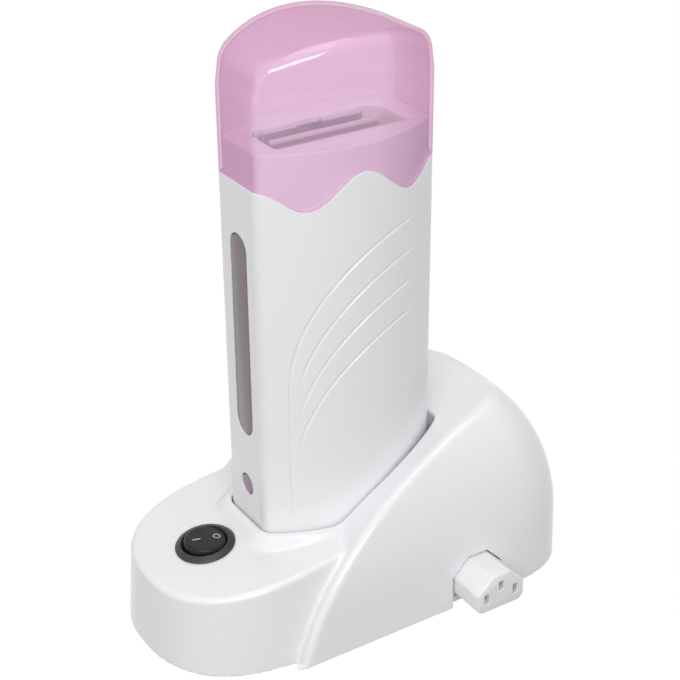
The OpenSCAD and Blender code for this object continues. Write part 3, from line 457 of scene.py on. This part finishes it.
def section_ring(g=0.0, bow=56, bend=14):
    """Points of the bowed outline grown by g, anticlockwise from the rear"""
    turn = math.asin(CORE_HALF / BOW_R)
    t1 = np.linspace(0, math.pi / 2 - turn, bend, endpoint=False)
    t2 = np.linspace(math.pi / 2 - turn, math.pi / 2 + turn, bow, endpoint=False)
    cy = math.sqrt(BOW_R ** 2 - CORE_HALF ** 2) - BOW_BACK
    r = CORNER + g
    rear = np.stack([CORE_HALF + r * np.cos(t1), cy + r * np.sin(t1)], 1)
    side = np.stack([(BOW_OUT + g) * np.cos(t2), (BOW_OUT + g) * np.sin(t2) - BOW_BACK], 1)
    front = np.stack([-CORE_HALF - r * np.cos(t1[::-1]), cy + r * np.sin(t1[::-1])], 1)
    half = np.concatenate([rear, side, front])
    return np.concatenate([half, -half])


def slot_ring(w, h, steps=14):
    """Upright slot with round ends in (y, z)"""
    t = np.linspace(0, math.pi, steps)
    r = w / 2
    up = np.stack([r * np.cos(t), (h - w) / 2 + r * np.sin(t)], 1)
    return np.concatenate([up, -up])


def round_box_ring(x0, x1, y0, y1, radii, steps=7):
    """Rectangle with its own corner radius at (x1,y1), (x0,y1), (x0,y0), (x1,y0)"""
    out = []
    for (x, y, sx, sy, start), r in zip(
            ((x1, y1, 1, 1, 0), (x0, y1, -1, 1, 90), (x0, y0, -1, -1, 180), (x1, y0, 1, -1, 270)), radii):
        t = np.radians(np.linspace(start, start + 90, steps))
        out.append(np.stack([x - sx * r + r * np.cos(t), y - sy * r + r * np.sin(t)], 1))
    return np.concatenate(out)


def circle_ring(r, steps):
    t = np.linspace(0, 2 * math.pi, steps, endpoint=False)
    return np.column_stack([r * np.cos(t), r * np.sin(t)])


def raise_to(ring, z):
    """A flat ring lifted to height z, a number or one height for each point"""
    return np.column_stack([ring, np.broadcast_to(z, len(ring))])


def lathe(profile, steps=72):
    """Solid of revolution about Z; its profile runs from the axis at the bottom to the axis on top"""
    t = np.linspace(0, 2 * math.pi, steps, endpoint=False)
    points, faces, rows = [], [], []
    for r, z in profile:
        if r < 1e-6:
            rows.append([len(points)])
            points.append((0, 0, z))
        else:
            rows.append(list(range(len(points), len(points) + steps)))
            points += [(r * math.cos(a), r * math.sin(a), z) for a in t]
    for a, b in zip(rows, rows[1:]):
        for j in range(steps):
            k = (j + 1) % steps
            if len(a) == 1 and len(b) > 1:
                faces.append([a[0], b[k], b[j]])
            elif len(b) == 1 and len(a) > 1:
                faces.append([a[j], a[k], b[0]])
            elif len(a) > 1:
                faces.append([a[j], a[k], b[k], b[j]])
    return np.array(points), faces


def rod(r, low, high, steps=24):
    """Round bar along Z"""
    return lathe([(0, low), (r, low), (r, high), (0, high)], steps)


def arc(cx, cz, r, start, end, steps=6):
    """Points of an arc in a profile, in degrees"""
    return [(cx + r * math.cos(math.radians(t)), cz + r * math.sin(math.radians(t)))
            for t in np.linspace(start, end, steps)]


def sweep(path, radii, normals, steps=12):
    """Closed tube along a path whose cross-sections stand upright on the given normals"""
    path = np.array(path, float)
    run = np.gradient(path, axis=0)
    run /= np.linalg.norm(run, axis=1)[:, None]
    side = np.cross(run, normals)
    side /= np.linalg.norm(side, axis=1)[:, None]
    up = np.cross(run, side)
    t = np.linspace(0, 2 * math.pi, steps, endpoint=False)
    rings = [p + r * (np.cos(t)[:, None] * s + np.sin(t)[:, None] * u)
             for p, r, s, u in zip(path, radii, side, up)]
    return ring_loft(rings)


def solid(name, points, faces, material=None, place=None):
    """Makes an object; points are in mm, place is a 4x4 in mm"""
    points = np.array(points, float)
    if place is not None:
        m = np.array(place)
        points = points @ m[:3, :3].T + m[:3, 3]
    mesh = bpy.data.meshes.new(name)
    mesh.from_pydata((points * MM).tolist(), [], [[int(i) for i in f] for f in faces])
    mesh.update()
    made = bpy.data.objects.new(name, mesh)
    scene.collection.objects.link(made)
    if material:
        mesh.materials.append(material)
    return made


def bake(item):
    """Applies an object's modifiers to its mesh"""
    bpy.context.view_layer.update()
    shaped = item.evaluated_get(bpy.context.evaluated_depsgraph_get())
    mesh = bpy.data.meshes.new_from_object(shaped)
    old = item.data
    item.modifiers.clear()
    item.data = mesh
    bpy.data.meshes.remove(old)


def cut(item, tool, how="DIFFERENCE"):
    """Boolean with another solid, which is then deleted"""
    step = item.modifiers.new("cut", "BOOLEAN")
    step.object = tool
    step.operation = how
    step.solver = "MANIFOLD"
    bake(item)
    bpy.data.objects.remove(tool)


def smooth(item, fields=(), angle=30.0, reach=0.06, along=0.9):
    """Smooth shading with sharp edges kept, and exact normals where a field's own surface is met"""
    mesh = item.data
    mesh.shade_smooth()
    mesh.set_sharp_from_angle(angle=math.radians(angle))
    if not fields:
        return
    n = len(mesh.loops)
    where = np.empty(len(mesh.vertices) * 3)
    mesh.vertices.foreach_get("co", where)
    where = where.reshape(-1, 3) / MM
    owner = np.empty(n, int)
    mesh.loops.foreach_get("vertex_index", owner)
    face_n = np.empty(len(mesh.polygons) * 3)
    mesh.polygons.foreach_get("normal", face_n)
    sizes = np.empty(len(mesh.polygons), int)
    mesh.polygons.foreach_get("loop_total", sizes)
    face_n = np.repeat(face_n.reshape(-1, 3), sizes, axis=0)
    given = np.zeros((n, 3))
    for field, sign in fields:
        near = np.abs(field(where)) < reach
        g = slope_of(field, where, 0.05) * sign
        g /= np.maximum(np.linalg.norm(g, axis=1), 1e-9)[:, None]
        use = near[owner] & ((g[owner] * face_n).sum(1) > along) & (given == 0).all(1)
        given[use] = g[owner][use]
    mesh.normals_split_custom_set(given.tolist())


def cad_place(origin, *turns):
    """4x4 in mm from an origin and turns given as (degrees, axis)"""
    made = Matrix.Translation(Vector(origin))
    for degrees, axis in turns:
        made = made @ Matrix.Rotation(math.radians(degrees), 4, axis)
    return made


def box_points(x0, x1, y0, y1, z0, z1):
    """Plain block between the given sides"""
    ring = np.array([(x1, y1), (x0, y1), (x0, y0), (x1, y0)], float)
    return ring_loft([raise_to(ring, z0), raise_to(ring, z1)])


def finish_piece(item, body, slot, *nodes):
    """Puts a finished piece on its body, in place of the nodes named; slot is not used"""
    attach(item, body)
    if nodes:
        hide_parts(*nodes)


SWITCH_Z = TOE_Z + SLOPE * (SWITCH_X + TOE_X)
switch_place = cad_place((SWITCH_X, 0, SWITCH_Z), (-SLOPE_DEG, "Y"), (SWITCH_TURN, "Z"))
across_y = Matrix.Rotation(math.radians(90), 4, "X")

# ---------------------------------------------------------------- base
base = solid("base_cover", *net(base_outside, (-89, -51, -2), (98.5, 51, 80), 1.1), white_abs)
hollow = solid("hollow", *net(base_inside, (-87, -49, -5), (96, 49, 77), 2.0))
for x, y in BASE_SCREWS:
    cut(hollow, solid("post", *rod(4, 3.6, 90, 32), place=cad_place((x, y, 0))))
cut(base, hollow)
# hole and seat of the switch, then the hole for the contact block in the well's floor
cut(base, solid("hole", *rod(10.15, -20, 30, 96), place=switch_place))
cut(base, solid("seat", *rod(12.2, 0, 8, 96), place=switch_place))
cut(base, solid("hole", *box_points(-23.3, 23.3, -10.3, 10.3, 8, 25)))


def connector_ring(g=0.0):
    """Face of the three-slot connector in (x, z), grown by g"""
    w, h, top = CONNECTOR_HALF + g, 7.8 + g, 4.5 + 0.4 * g
    return np.array([(-w + 2, -h), (w - 2, -h), (w, -h + 2), (w, 1),
                     (top, h), (-top, h), (-w, 1), (-w, -h + 2)])


def along_y(rings, levels, middle=(MAINS_X, MAINS_Z)):
    """Loft of (x, z) rings standing at the given y, from high y to low y"""
    return ring_loft([np.column_stack([r[:, 0] + middle[0], np.full(len(r), y), r[:, 1] + middle[1]])
                      for y, r in zip(levels, rings)])


def flange_points(y0, y1):
    """Flange of outlet or inlet behind the base's wall"""
    return box_points(MAINS_X - 15.9, MAINS_X + 15.9, y0, y1, 3.7, MAINS_Z + 10.3)


def rounded(ring, r, steps=4):
    """Ring with its corners rounded"""
    out = []
    for i, p in enumerate(ring):
        a, b = ring[i - 1], ring[(i + 1) % len(ring)]
        u, v = (a - p) / np.linalg.norm(a - p), (b - p) / np.linalg.norm(b - p)
        for t in np.linspace(0, 1, steps):
            out.append(p + r * (u * (1 - t) ** 2 + v * t ** 2))
    return np.array(out)


# holes for the outlet, open to the underside, and for the inlet, then those of the plate's screws
cut(base, solid("hole", *along_y([rounded(connector_ring(0.7), 0.6)] * 2, (-40, -60))))
cut(base, solid("hole", *box_points(27.1, 50.9, -60, -40, -3, 13)))
cut(base, solid("hole", *box_points(MAINS_X - 13.7, MAINS_X + 13.7, 40, 60, MAINS_Z - 9.8, MAINS_Z + 9.8)))
for x, y in BASE_SCREWS:
    cut(base, solid("hole", *rod(1.55, -1, 15.6), place=cad_place((x, y, 0))))
smooth(base, ((base_outside, 1), (base_inside, -1)))
finish_piece(base, "base", "base_shell", "base_shell")

# switch: turned bezel with its barrel, and the rocker
bezel = [(0, -15), (9.4, -15)] + arc(9.4, -14.5, 0.5, -90, 0, 4) + [(9.9, -0.02), (11.6, -0.02)]
bezel += arc(11.5, 0.4, 0.4, -60, 20, 5) + arc(10.9, 0.2, 1.05, 25, 68, 6)
bezel += arc(9.75, 1.45, 0.55, 78, 180, 8)
bezel += [(9.2, 1.2), (8.9, 0.8), (8.9, -9.2), (0, -9.2)]
housing = solid("switch_bezel", *lathe(bezel, 96), black_nylon, switch_place)
pivot_hole = ring_loft([raise_to(circle_ring(1.25, 24), z) for z in (-9.4, 9.4)])
cut(housing, solid("hole", *pivot_hole, place=switch_place @ across_y))
smooth(housing)
finish_piece(housing, "base", "switch_housing", "switch_housing")
rocker_place = switch_place @ Matrix.Rotation(math.radians(ROCKER_TILT), 4, "Y")
paddle = net(rocker_form, (-9.6, -9.6, -5), (9.6, 9.6, 5), 0.4)
rocker = solid("rocker_paddle", *paddle, black_gloss, rocker_place)
cut(rocker, solid("pin", *rod(1.2, -9.2, 9.2), place=rocker_place @ across_y), "UNION")
smooth(rocker, angle=40)
finish_piece(rocker, "rocker", "switch_rocker", "switch_rocker")
# the line and the circle, sunk into the paddle and standing proud by the paint's thickness
SUNK, PROUD, MARK_STEPS = -0.3, 0.04, 40
dash = solid("mark_on", *ring_loft([raise_to(round_box_ring(-1.6, 1.6, -0.35, 0.35, [0.2] * 4), z)
                                    for z in (SUNK, PROUD)]),
             mark_paint, rocker_place @ cad_place((-3.6, 0.1, ROCKER_TOP - 0.23), (-ROCKER_FALL, "Y")))
finish_piece(dash, "rocker", "switch_rocker")
round_mark = [raise_to(circle_ring(r, MARK_STEPS), z)
              for r, z in ((1.0, SUNK), (1.55, SUNK), (1.55, PROUD), (1.0, PROUD))]
points, faces = ring_loft(round_mark, closed=False)
last = 3 * MARK_STEPS
for j in range(MARK_STEPS):
    k = (j + 1) % MARK_STEPS
    faces.append([last + j, last + k, k, j])
zero = solid("mark_off", points, faces, mark_paint,
             rocker_place @ cad_place((4.6, 0.6, ROCKER_TOP - 0.3), (ROCKER_FALL, "Y")))
finish_piece(zero, "rocker", "switch_rocker")

# outlet: rounded block, whose face draws in by the second number, with flared slots and its flange
front = connector_ring()
levels = [(-30.0, 0.0), (-63.4, 0.0), (-63.82, -0.28), (-64.0, -0.6)]
faces_out = [rounded(front * (1 + g / CONNECTOR_HALF), 0.7) for y, g in levels]
outlet = solid("outlet_block", *along_y(faces_out, [y for y, g in levels]), white_nylon)
cut(outlet, solid("flange", *flange_points(-45, -42.5)), "UNION")
# each slot flares at the face; the room for its contact is wider and lies behind it
flare = [(-48.2, 1.1, 2.25), (-63.75, 1.1, 2.25), (-63.95, 1.35, 2.5), (-64.4, 1.35, 2.5)]
for x, z in SLOTS:
    rings = [round_box_ring(-w, w, -h, h, [0.3] * 4, 4) + (x, z) for y, w, h in flare]
    cut(outlet, solid("slot", *along_y(rings, [y for y, w, h in flare])))
    room = round_box_ring(-1.3, 1.3, -2.1, 2.1, [0.2] * 4, 4) + (x, z)
    cut(outlet, solid("slot", *along_y([room] * 2, (-28, -49))))
# painted shade: the faces deep in the slots get the grey nylon
outlet.data.materials.append(painted_slot_shade)
for face in outlet.data.polygons:
    x, y, z = face.center / MM
    gets_slot_shade = any(abs(x - MAINS_X - a) < 1.2 and abs(z - MAINS_Z - b) < 2.4 for a, b in SLOTS)
    if y > -63.7 and gets_slot_shade:
        face.material_index = 1
smooth(outlet, angle=40)
finish_piece(outlet, "base", "outlet_body", "outlet_body")

# inlet: socket with a softened rim
rim = round_box_ring(-13.4, 13.4, -9.5, 9.5, [1.2] * 4)
inlet = solid("inlet_socket", *along_y([rim * k for k in (0.975, 0.99, 1, 1)], (47.6, 47.5, 47.1, 29)),
              socket_nylon)
cut(inlet, solid("flange", *flange_points(42.5, 45)), "UNION")
socket = [rounded(connector_ring(g), 0.6) for g in (1.0, 0.4, 0.4)]
cut(inlet, solid("hole", *along_y(socket, (48, 47.0, 32.5))))
for x, z in SLOTS:
    cut(inlet, solid("slot", *box_points(MAINS_X + x - 1, MAINS_X + x + 1, 28, 33,
                                         MAINS_Z + z - 2, MAINS_Z + z + 2)))
smooth(inlet, angle=40)
finish_piece(inlet, "base", "inlet_body", "inlet_body")


# ---------------------------------------------------------------- handle
def upright(inset, *heights):
    """Skin over the handle's outline, set in by inset, between the heights"""
    return ring_loft([raise_to(section_ring(-inset), z) for z in heights])


# foot with its rounded edge, sides up to the wavy step, step, and collar with its rounded top
outline = section_ring()
shoulder = wave_at(outline[:, 0])
foot_edge = ((-0.9, 20.0), (-0.35, 20.12), (-0.1, 20.4), (0.0, 20.9))
EDGE_Z, STEP_EDGE, COLLAR_EDGE, COLLAR_Z = 20.9, 0.35, 0.8, 196.4
rings = [raise_to(section_ring(g), z) for g, z in foot_edge]
rings += [raise_to(outline, EDGE_Z + (shoulder - STEP_EDGE - EDGE_Z) * k) for k in np.linspace(0.04, 1, 25)]
rings += [raise_to(section_ring(-0.1), shoulder - 0.1), raise_to(section_ring(-STEP_EDGE), shoulder)]
collar = section_ring(-COLLAR_IN)
rings += [raise_to(collar, wave_at(collar[:, 0])), raise_to(collar, 196.3)]
for a in np.radians([15, 35, 55, 75, 90]):
    rings.append(raise_to(section_ring(-COLLAR_IN - COLLAR_EDGE * (1 - math.cos(a))),
                          COLLAR_Z + COLLAR_EDGE * math.sin(a)))
handle = solid("handle_cover", *ring_loft(rings), white_abs)
cut(handle, solid("hollow", *upright(HANDLE_WALL, 18, 171.5)))
cut(handle, solid("hollow", *upright(COLLAR_WALL, 170.5, 194.6)))


def bay_ring(g=0.0):
    """Mouth of the cartridge's bay, grown by g, with wide corners at one side only"""
    return round_box_ring(-27.8 - g, 27.8 + g, -11 - g, 10.5 + g, [7 + g, 7 + g, 0.4 + g, 0.4 + g], 10)


mouth_edge = ((0.0, 190), (0.0, 196.5), (0.07, 196.76), (0.25, 196.98), (0.55, 197.15), (0.9, 197.25))
cut(handle, solid("bay", *ring_loft([raise_to(bay_ring(g), z) for g, z in mouth_edge])))
for x, y in HANDLE_SCREWS:
    post = solid("post", *rod(3.2, 22.6, 46, 32), place=cad_place((x, y, 0)))
    rib_x = x * 35.5 / 31.5
    cut(post, solid("rib", *box_points(rib_x - 4, rib_x + 4, y - 0.9, y + 0.9, 22.6, 46)), "UNION")
    cut(post, solid("end", *upright(1.2, 20, 50)), "INTERSECT")
    cut(post, solid("hole", *rod(1.55, 20, 42), place=cad_place((x, y, 0))))
    cut(handle, post, "UNION")

# grip grooves: quarter circles of this radius, each lower than the one before by the step, and the first
# with a straight tail; pressed in by a tube whose middle runs outside the surface
GROOVE_R, GROOVE_TOP, GROOVE_STEP, GROOVE_LEFT, GROOVE_RIGHT = 60, 164, 12.5, -29.2, 26
TUBE_R, TUBE_OUT, TUBE_RISE, FADE = 1.1, 0.8, 0.35, 10


def groove_paths():
    """Centre lines of the grip grooves in (x, z)"""
    for i in range(4):
        low = GROOVE_TOP - GROOVE_STEP * i - GROOVE_R
        left = GROOVE_LEFT + (1.5 if i else 0)
        start = math.asin(13 / GROOVE_R) if i else 0
        stop = math.acos((left + GROOVE_R - GROOVE_RIGHT) / GROOVE_R)
        t = np.linspace(start, stop, 80)
        line = np.stack([left + GROOVE_R - GROOVE_R * np.cos(t), low + GROOVE_R * np.sin(t)], 1)
        if not i:
            line = np.concatenate([np.stack([np.full(40, left), np.linspace(44, low - 1, 40)], 1), line])
        yield line


for side in (-1, 1):
    for line in groove_paths():
        turn_at = np.arcsin(np.clip(line[:, 0] / BOW_OUT, -0.999, 0.999))
        out = np.stack([np.sin(turn_at), side * np.cos(turn_at), np.zeros(len(line))], 1)
        foot = np.stack([BOW_OUT * np.sin(turn_at), side * (BOW_OUT * np.cos(turn_at) - BOW_BACK),
                         line[:, 1]], 1)
        run = np.concatenate([[0], np.cumsum(np.hypot(*np.diff(line, axis=0).T))])
        ends = np.clip(np.minimum(run, run[-1] - run) / FADE, 0, 1)
        rise = TUBE_OUT + TUBE_RISE * (1 - ends) ** 2
        tube = sweep(foot + rise[:, None] * out, np.full(len(line), TUBE_R), out, 32)
        cut(handle, solid("groove", *tube))


def slots_along_x(sizes, z):
    """Loft of upright slots given as (x, width, height), from low x to high x, their middle at z"""
    rings = [(x, slot_ring(w, h)) for x, w, h in sizes]
    return ring_loft([np.column_stack([np.full(len(r), x), r[:, 0], r[:, 1] + z]) for x, r in rings])


window = [(-38.9, 12.5, 84.1), (-38.4, 12.4, 84.0), (-38.25, 12.3, 83.9), (-36.95, 12.3, 83.9),
          (-36.95, 10.4, 82.0), (-33, 10.4, 82.0)]
cut(handle, solid("window", *slots_along_x(window, WINDOW_Z)))
lamp_hole = [(0, -40), (4.7, -40), (4.62, -38.4), (4.5, -38.2), (4.5, -30), (0, -30)]
lamp_place = cad_place((0, 0, LAMP_Z), (90, "Y"))
cut(handle, solid("lamp", *lathe(lamp_hole, 64), place=lamp_place))


def handle_side(p):
    return section(p[..., 0], p[..., 1])


smooth(handle, ((handle_side, 1), (lambda p: handle_side(p) + COLLAR_IN, 1),
                (lambda p: handle_side(p) + HANDLE_WALL, -1),
                (lambda p: handle_side(p) + COLLAR_WALL, -1)), reach=0.03, along=0.985)
finish_piece(handle, "handle", "handle_shell", "handle_shell")


def paint_rim_shade(item, material):
    """Gives the sloping rim of a lens that faces -X its own material, a painted shade of the recess round it
    """
    item.data.materials.append(material)
    for face in item.data.polygons:
        if face.normal.x > -0.93:
            face.material_index = 1


# window lens with a softened face, and the indicator's domed lens
lens = [(-38.12, 10.7, 82.3), (-38.05, 11.2, 82.8), (-37.85, 11.65, 83.25),
        (-37.5, 12.0, 83.6), (-37.0, 12.0, 83.6), (-37.0, 10.2, 81.8),
        (-35.9, 10.2, 81.8), (-35.9, 13.4, 85.0), (-34.4, 13.4, 85.0)]
pane = solid("window_pane", *slots_along_x(lens, WINDOW_Z), smoky_acrylic)
# the pane's rim is painted with the shade of the recess round it
paint_rim_shade(pane, painted_rim_shade)
smooth(pane, angle=50)
finish_piece(pane, "handle", "window_lens", "window_lens")
dome = [(0, -38.15)] + [(3.6 * s, -38.15 + 0.25 * s * s) for s in (0.3, 0.6, 0.85, 1)]
dome += [(3.9, -37.75), (4.2, -37.45), (4.4, -37.1), (4.4, -36.9), (4.4, -35.9), (5.9, -35.9)]
dome += [(5.9, -34.9), (0, -34.9)]
lamp = solid("indicator_button", *lathe(dome, 64), pink_acrylic, lamp_place)
# the indicator's rim is painted with the shade of the recess round it
paint_rim_shade(lamp, painted_rim_shade)
smooth(lamp, angle=50)
finish_piece(lamp, "handle", "indicator_lens", "indicator_lens")


# ---------------------------------------------------------------- cap
def cap_outside(p):
    return cap_form(p, 0.0, CAP_EDGE)


def cap_inside(p):
    return cap_form(p, CAP_WALL, CAP_EDGE_IN)


room_low, room_high, cell = (-40, -27, 165), (40, 27, 238), 0.9
cap = solid("cap_hood", *net(cap_outside, room_low, room_high, cell), pink_styrene)
core = solid("core", *net(cap_inside, room_low, room_high, cell))
cut(core, solid("low", *upright(CAP_WALL, 160, 186)), "UNION")
cut(cap, core)
# everything under the wave goes; the edge stands off the handle's step by a little
xs = np.arange(-44, 44.1, 0.5)
edge = np.column_stack([xs, wave_at(xs) + 0.3])
under = np.concatenate([[(-44, 150), (44, 150)], edge[::-1]])
cut(cap, solid("wave", *along_y([under] * 2, (40, -40), (0, 0))))
smooth(cap, ((cap_outside, 1), (cap_inside, -1)))
finish_piece(cap, "cap", "cap", "cap")

# ---------------------------------------------------------------- feet and screws
dish = [(0, 0.5), (2.6, 0.35), (4.2, 0.0)] + arc(6.0, 0.6, 0.6, -90, 0, 5) + [(6.4, 0.7)]
dish += arc(6.7, 0.9, 0.3, -90, 0, 3) + [(7, 1.4), (6.9, 1.8), (0, 1.8)]
for number, (x, y) in enumerate(FEET):
    foot = solid(f"foot_pad_{number + 1}", *lathe(dish, 48), rubber, cad_place((x, y, 0)))
    smooth(foot, angle=40)
    finish_piece(foot, "base", "rubber_feet", *(("rubber_feet",) if number == 0 else ()))


def screw(name, x, y, z, length, body, node, first):
    """Pan-head screw with a cross recess, its head down"""
    pitch = 0.35
    head = [(0, 0), (1.6, 0)] + arc(2.3, 0.5, 0.5, -90, 0, 5) + [(2.8, 1.6), (1.5, 1.6)]
    thread = [(1.5 if i % 2 else 1.2, 1.9 + pitch * i) for i in range(int((length - 2.6) / pitch))]
    tip = [(0.9, length - 0.3), (0, length)]
    made = solid(name, *lathe(head + thread + tip, 24), zinc_steel, cad_place((x, y, z)))
    for turn_by in (0, 90):
        slot = box_points(-1.5, 1.5, -0.32, 0.32, -0.5, 0.9)
        cut(made, solid("slot", *slot, place=cad_place((x, y, z), (turn_by, "Z"))))
    smooth(made, angle=35)
    finish_piece(made, body, node, *((node,) if first else ()))


for number, (x, y) in enumerate(BASE_SCREWS):
    screw(f"base_screw_{number + 1}", x, y, 1.25, 12, "base", "base_screws", number == 0)
for number, (x, y) in enumerate(HANDLE_SCREWS):
    screw(f"handle_screw_{number + 1}", x, y, 20.05, 10, "handle", "handle_screws", number == 0)

# coil springs under the contact plungers: radius of coil and wire, the
# wire's lowest middle and its rise, the spring's foot, and the number of turns
COIL_R, WIRE_R, COIL_LOW, COIL_RISE, COIL_FOOT, COIL_TURNS = 2.65, 0.3, 9.9, 4.1, 9.6, 4
for which, x in (("front", -12), ("rear", 12)):
    turn = np.linspace(0, 2 * COIL_TURNS * math.pi, 97)
    height = COIL_LOW + COIL_RISE * turn / turn[-1]
    wire = np.stack([x + COIL_R * np.cos(turn), COIL_R * np.sin(turn), height], 1)
    away = np.stack([np.cos(turn), np.sin(turn), 0 * turn], 1)
    coil = solid(f"coil_{which}", *sweep(wire, np.full(len(turn), WIRE_R), away, 8), zinc_steel)
    smooth(coil)
    finish_piece(coil, "base", "springs", f"spring_{which}")
    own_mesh(coil)

# ---------------------------------------------------------------- nodes shown as they are
finishes = {
    "bottom_plate": matt_abs, "switch_terminals": nickel, "outlet_contacts": brass, "inlet_pins": nickel,
    "contact_block": socket_nylon, "plunger_front": brass, "plunger_rear": brass,
    "base_wiring": pvc_brown, "end_plate": matt_abs,
    "contact_pads": brass, "cartridge_chamber": ivory_pps, "heating_plate": aluminium,
    "pressure_plate": aluminium, "ptc_heaters": grey_ceramic, "heater_clamp": zinc_steel,
    "thermostat": phenolic, "thermal_fuse": fuse_body, "lamp_board": glass_epoxy,
    "indicator_lamp": red_epoxy, "handle_wiring": pvc_blue}
for node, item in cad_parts.items():
    chosen = finishes.get(node, white_abs)
    if not item.material_slots:
        item.data.materials.append(chosen)
    for held in item.material_slots:
        held.material = chosen

# ---------------------------------------------------------------- floor and lights
FLOOR_HALF, FLOOR_Z = 3000, -0.05
corners = [(x * FLOOR_HALF, y * FLOOR_HALF, FLOOR_Z) for x, y in ((-1, -1), (1, -1), (1, 1), (-1, 1))]
floor = solid("floor", corners, [(0, 1, 2, 3)], floor_paint)
# its glow is for the camera and for gloss, and lights nothing
floor.visible_diffuse = False
floor.visible_shadow = False
world = bpy.data.worlds.new("studio")
scene.world = world
world.use_nodes = True
sky = world.node_tree
sky.nodes.clear()
look = add(sky, "ShaderNodeTexCoord")
parts = add(sky, "ShaderNodeSeparateXYZ", {"Vector": look.outputs["Generated"]})
lift = add(sky, "ShaderNodeMapRange", {
    "Value": parts.outputs["Z"], "From Min": -0.3, "From Max": 0.5, "To Min": 0.27, "To Max": 0.52})
# the soft gradient lights the object; the camera, gloss and clear plastics see plain white
strength = lift.outputs["Result"]
path = add(sky, "ShaderNodeLightPath")
for ray in ("Is Camera Ray", "Is Glossy Ray", "Is Transmission Ray"):
    larger = add(sky, "ShaderNodeMath", {0: strength, 1: path.outputs[ray]}, operation="MAXIMUM")
    strength = larger.outputs[0]
glow = add(sky, "ShaderNodeBackground", {"Color": (1, 1, 1, 1), "Strength": strength})
add(sky, "ShaderNodeOutputWorld", {"Surface": glow.outputs["Background"]})


def lamp_at(name, where, target, size, watts):
    """Soft box light, size being its width and height"""
    data = bpy.data.lights.new(name, "AREA")
    data.shape = "RECTANGLE"
    data.size, data.size_y = size
    data.energy = watts
    made = bpy.data.objects.new(name, data)
    aim = Vector(target) - Vector(where)
    turned = aim.to_track_quat("-Z", "Y").to_matrix().to_4x4()
    made.matrix_world = Matrix.Translation(Vector(where) * MM) @ turned
    scene.collection.objects.link(made)


lamp_at("key", (-500, -800, 700), (0, 0, 90), (1.0, 0.35), 7.2)
lamp_at("fill", (-950, -150, 250), (0, 0, 60), (0.8, 0.5), 0.6)
lamp_at("top", (60, 60, 1200), (0, 0, 90), (0.6, 0.6), 2.4)
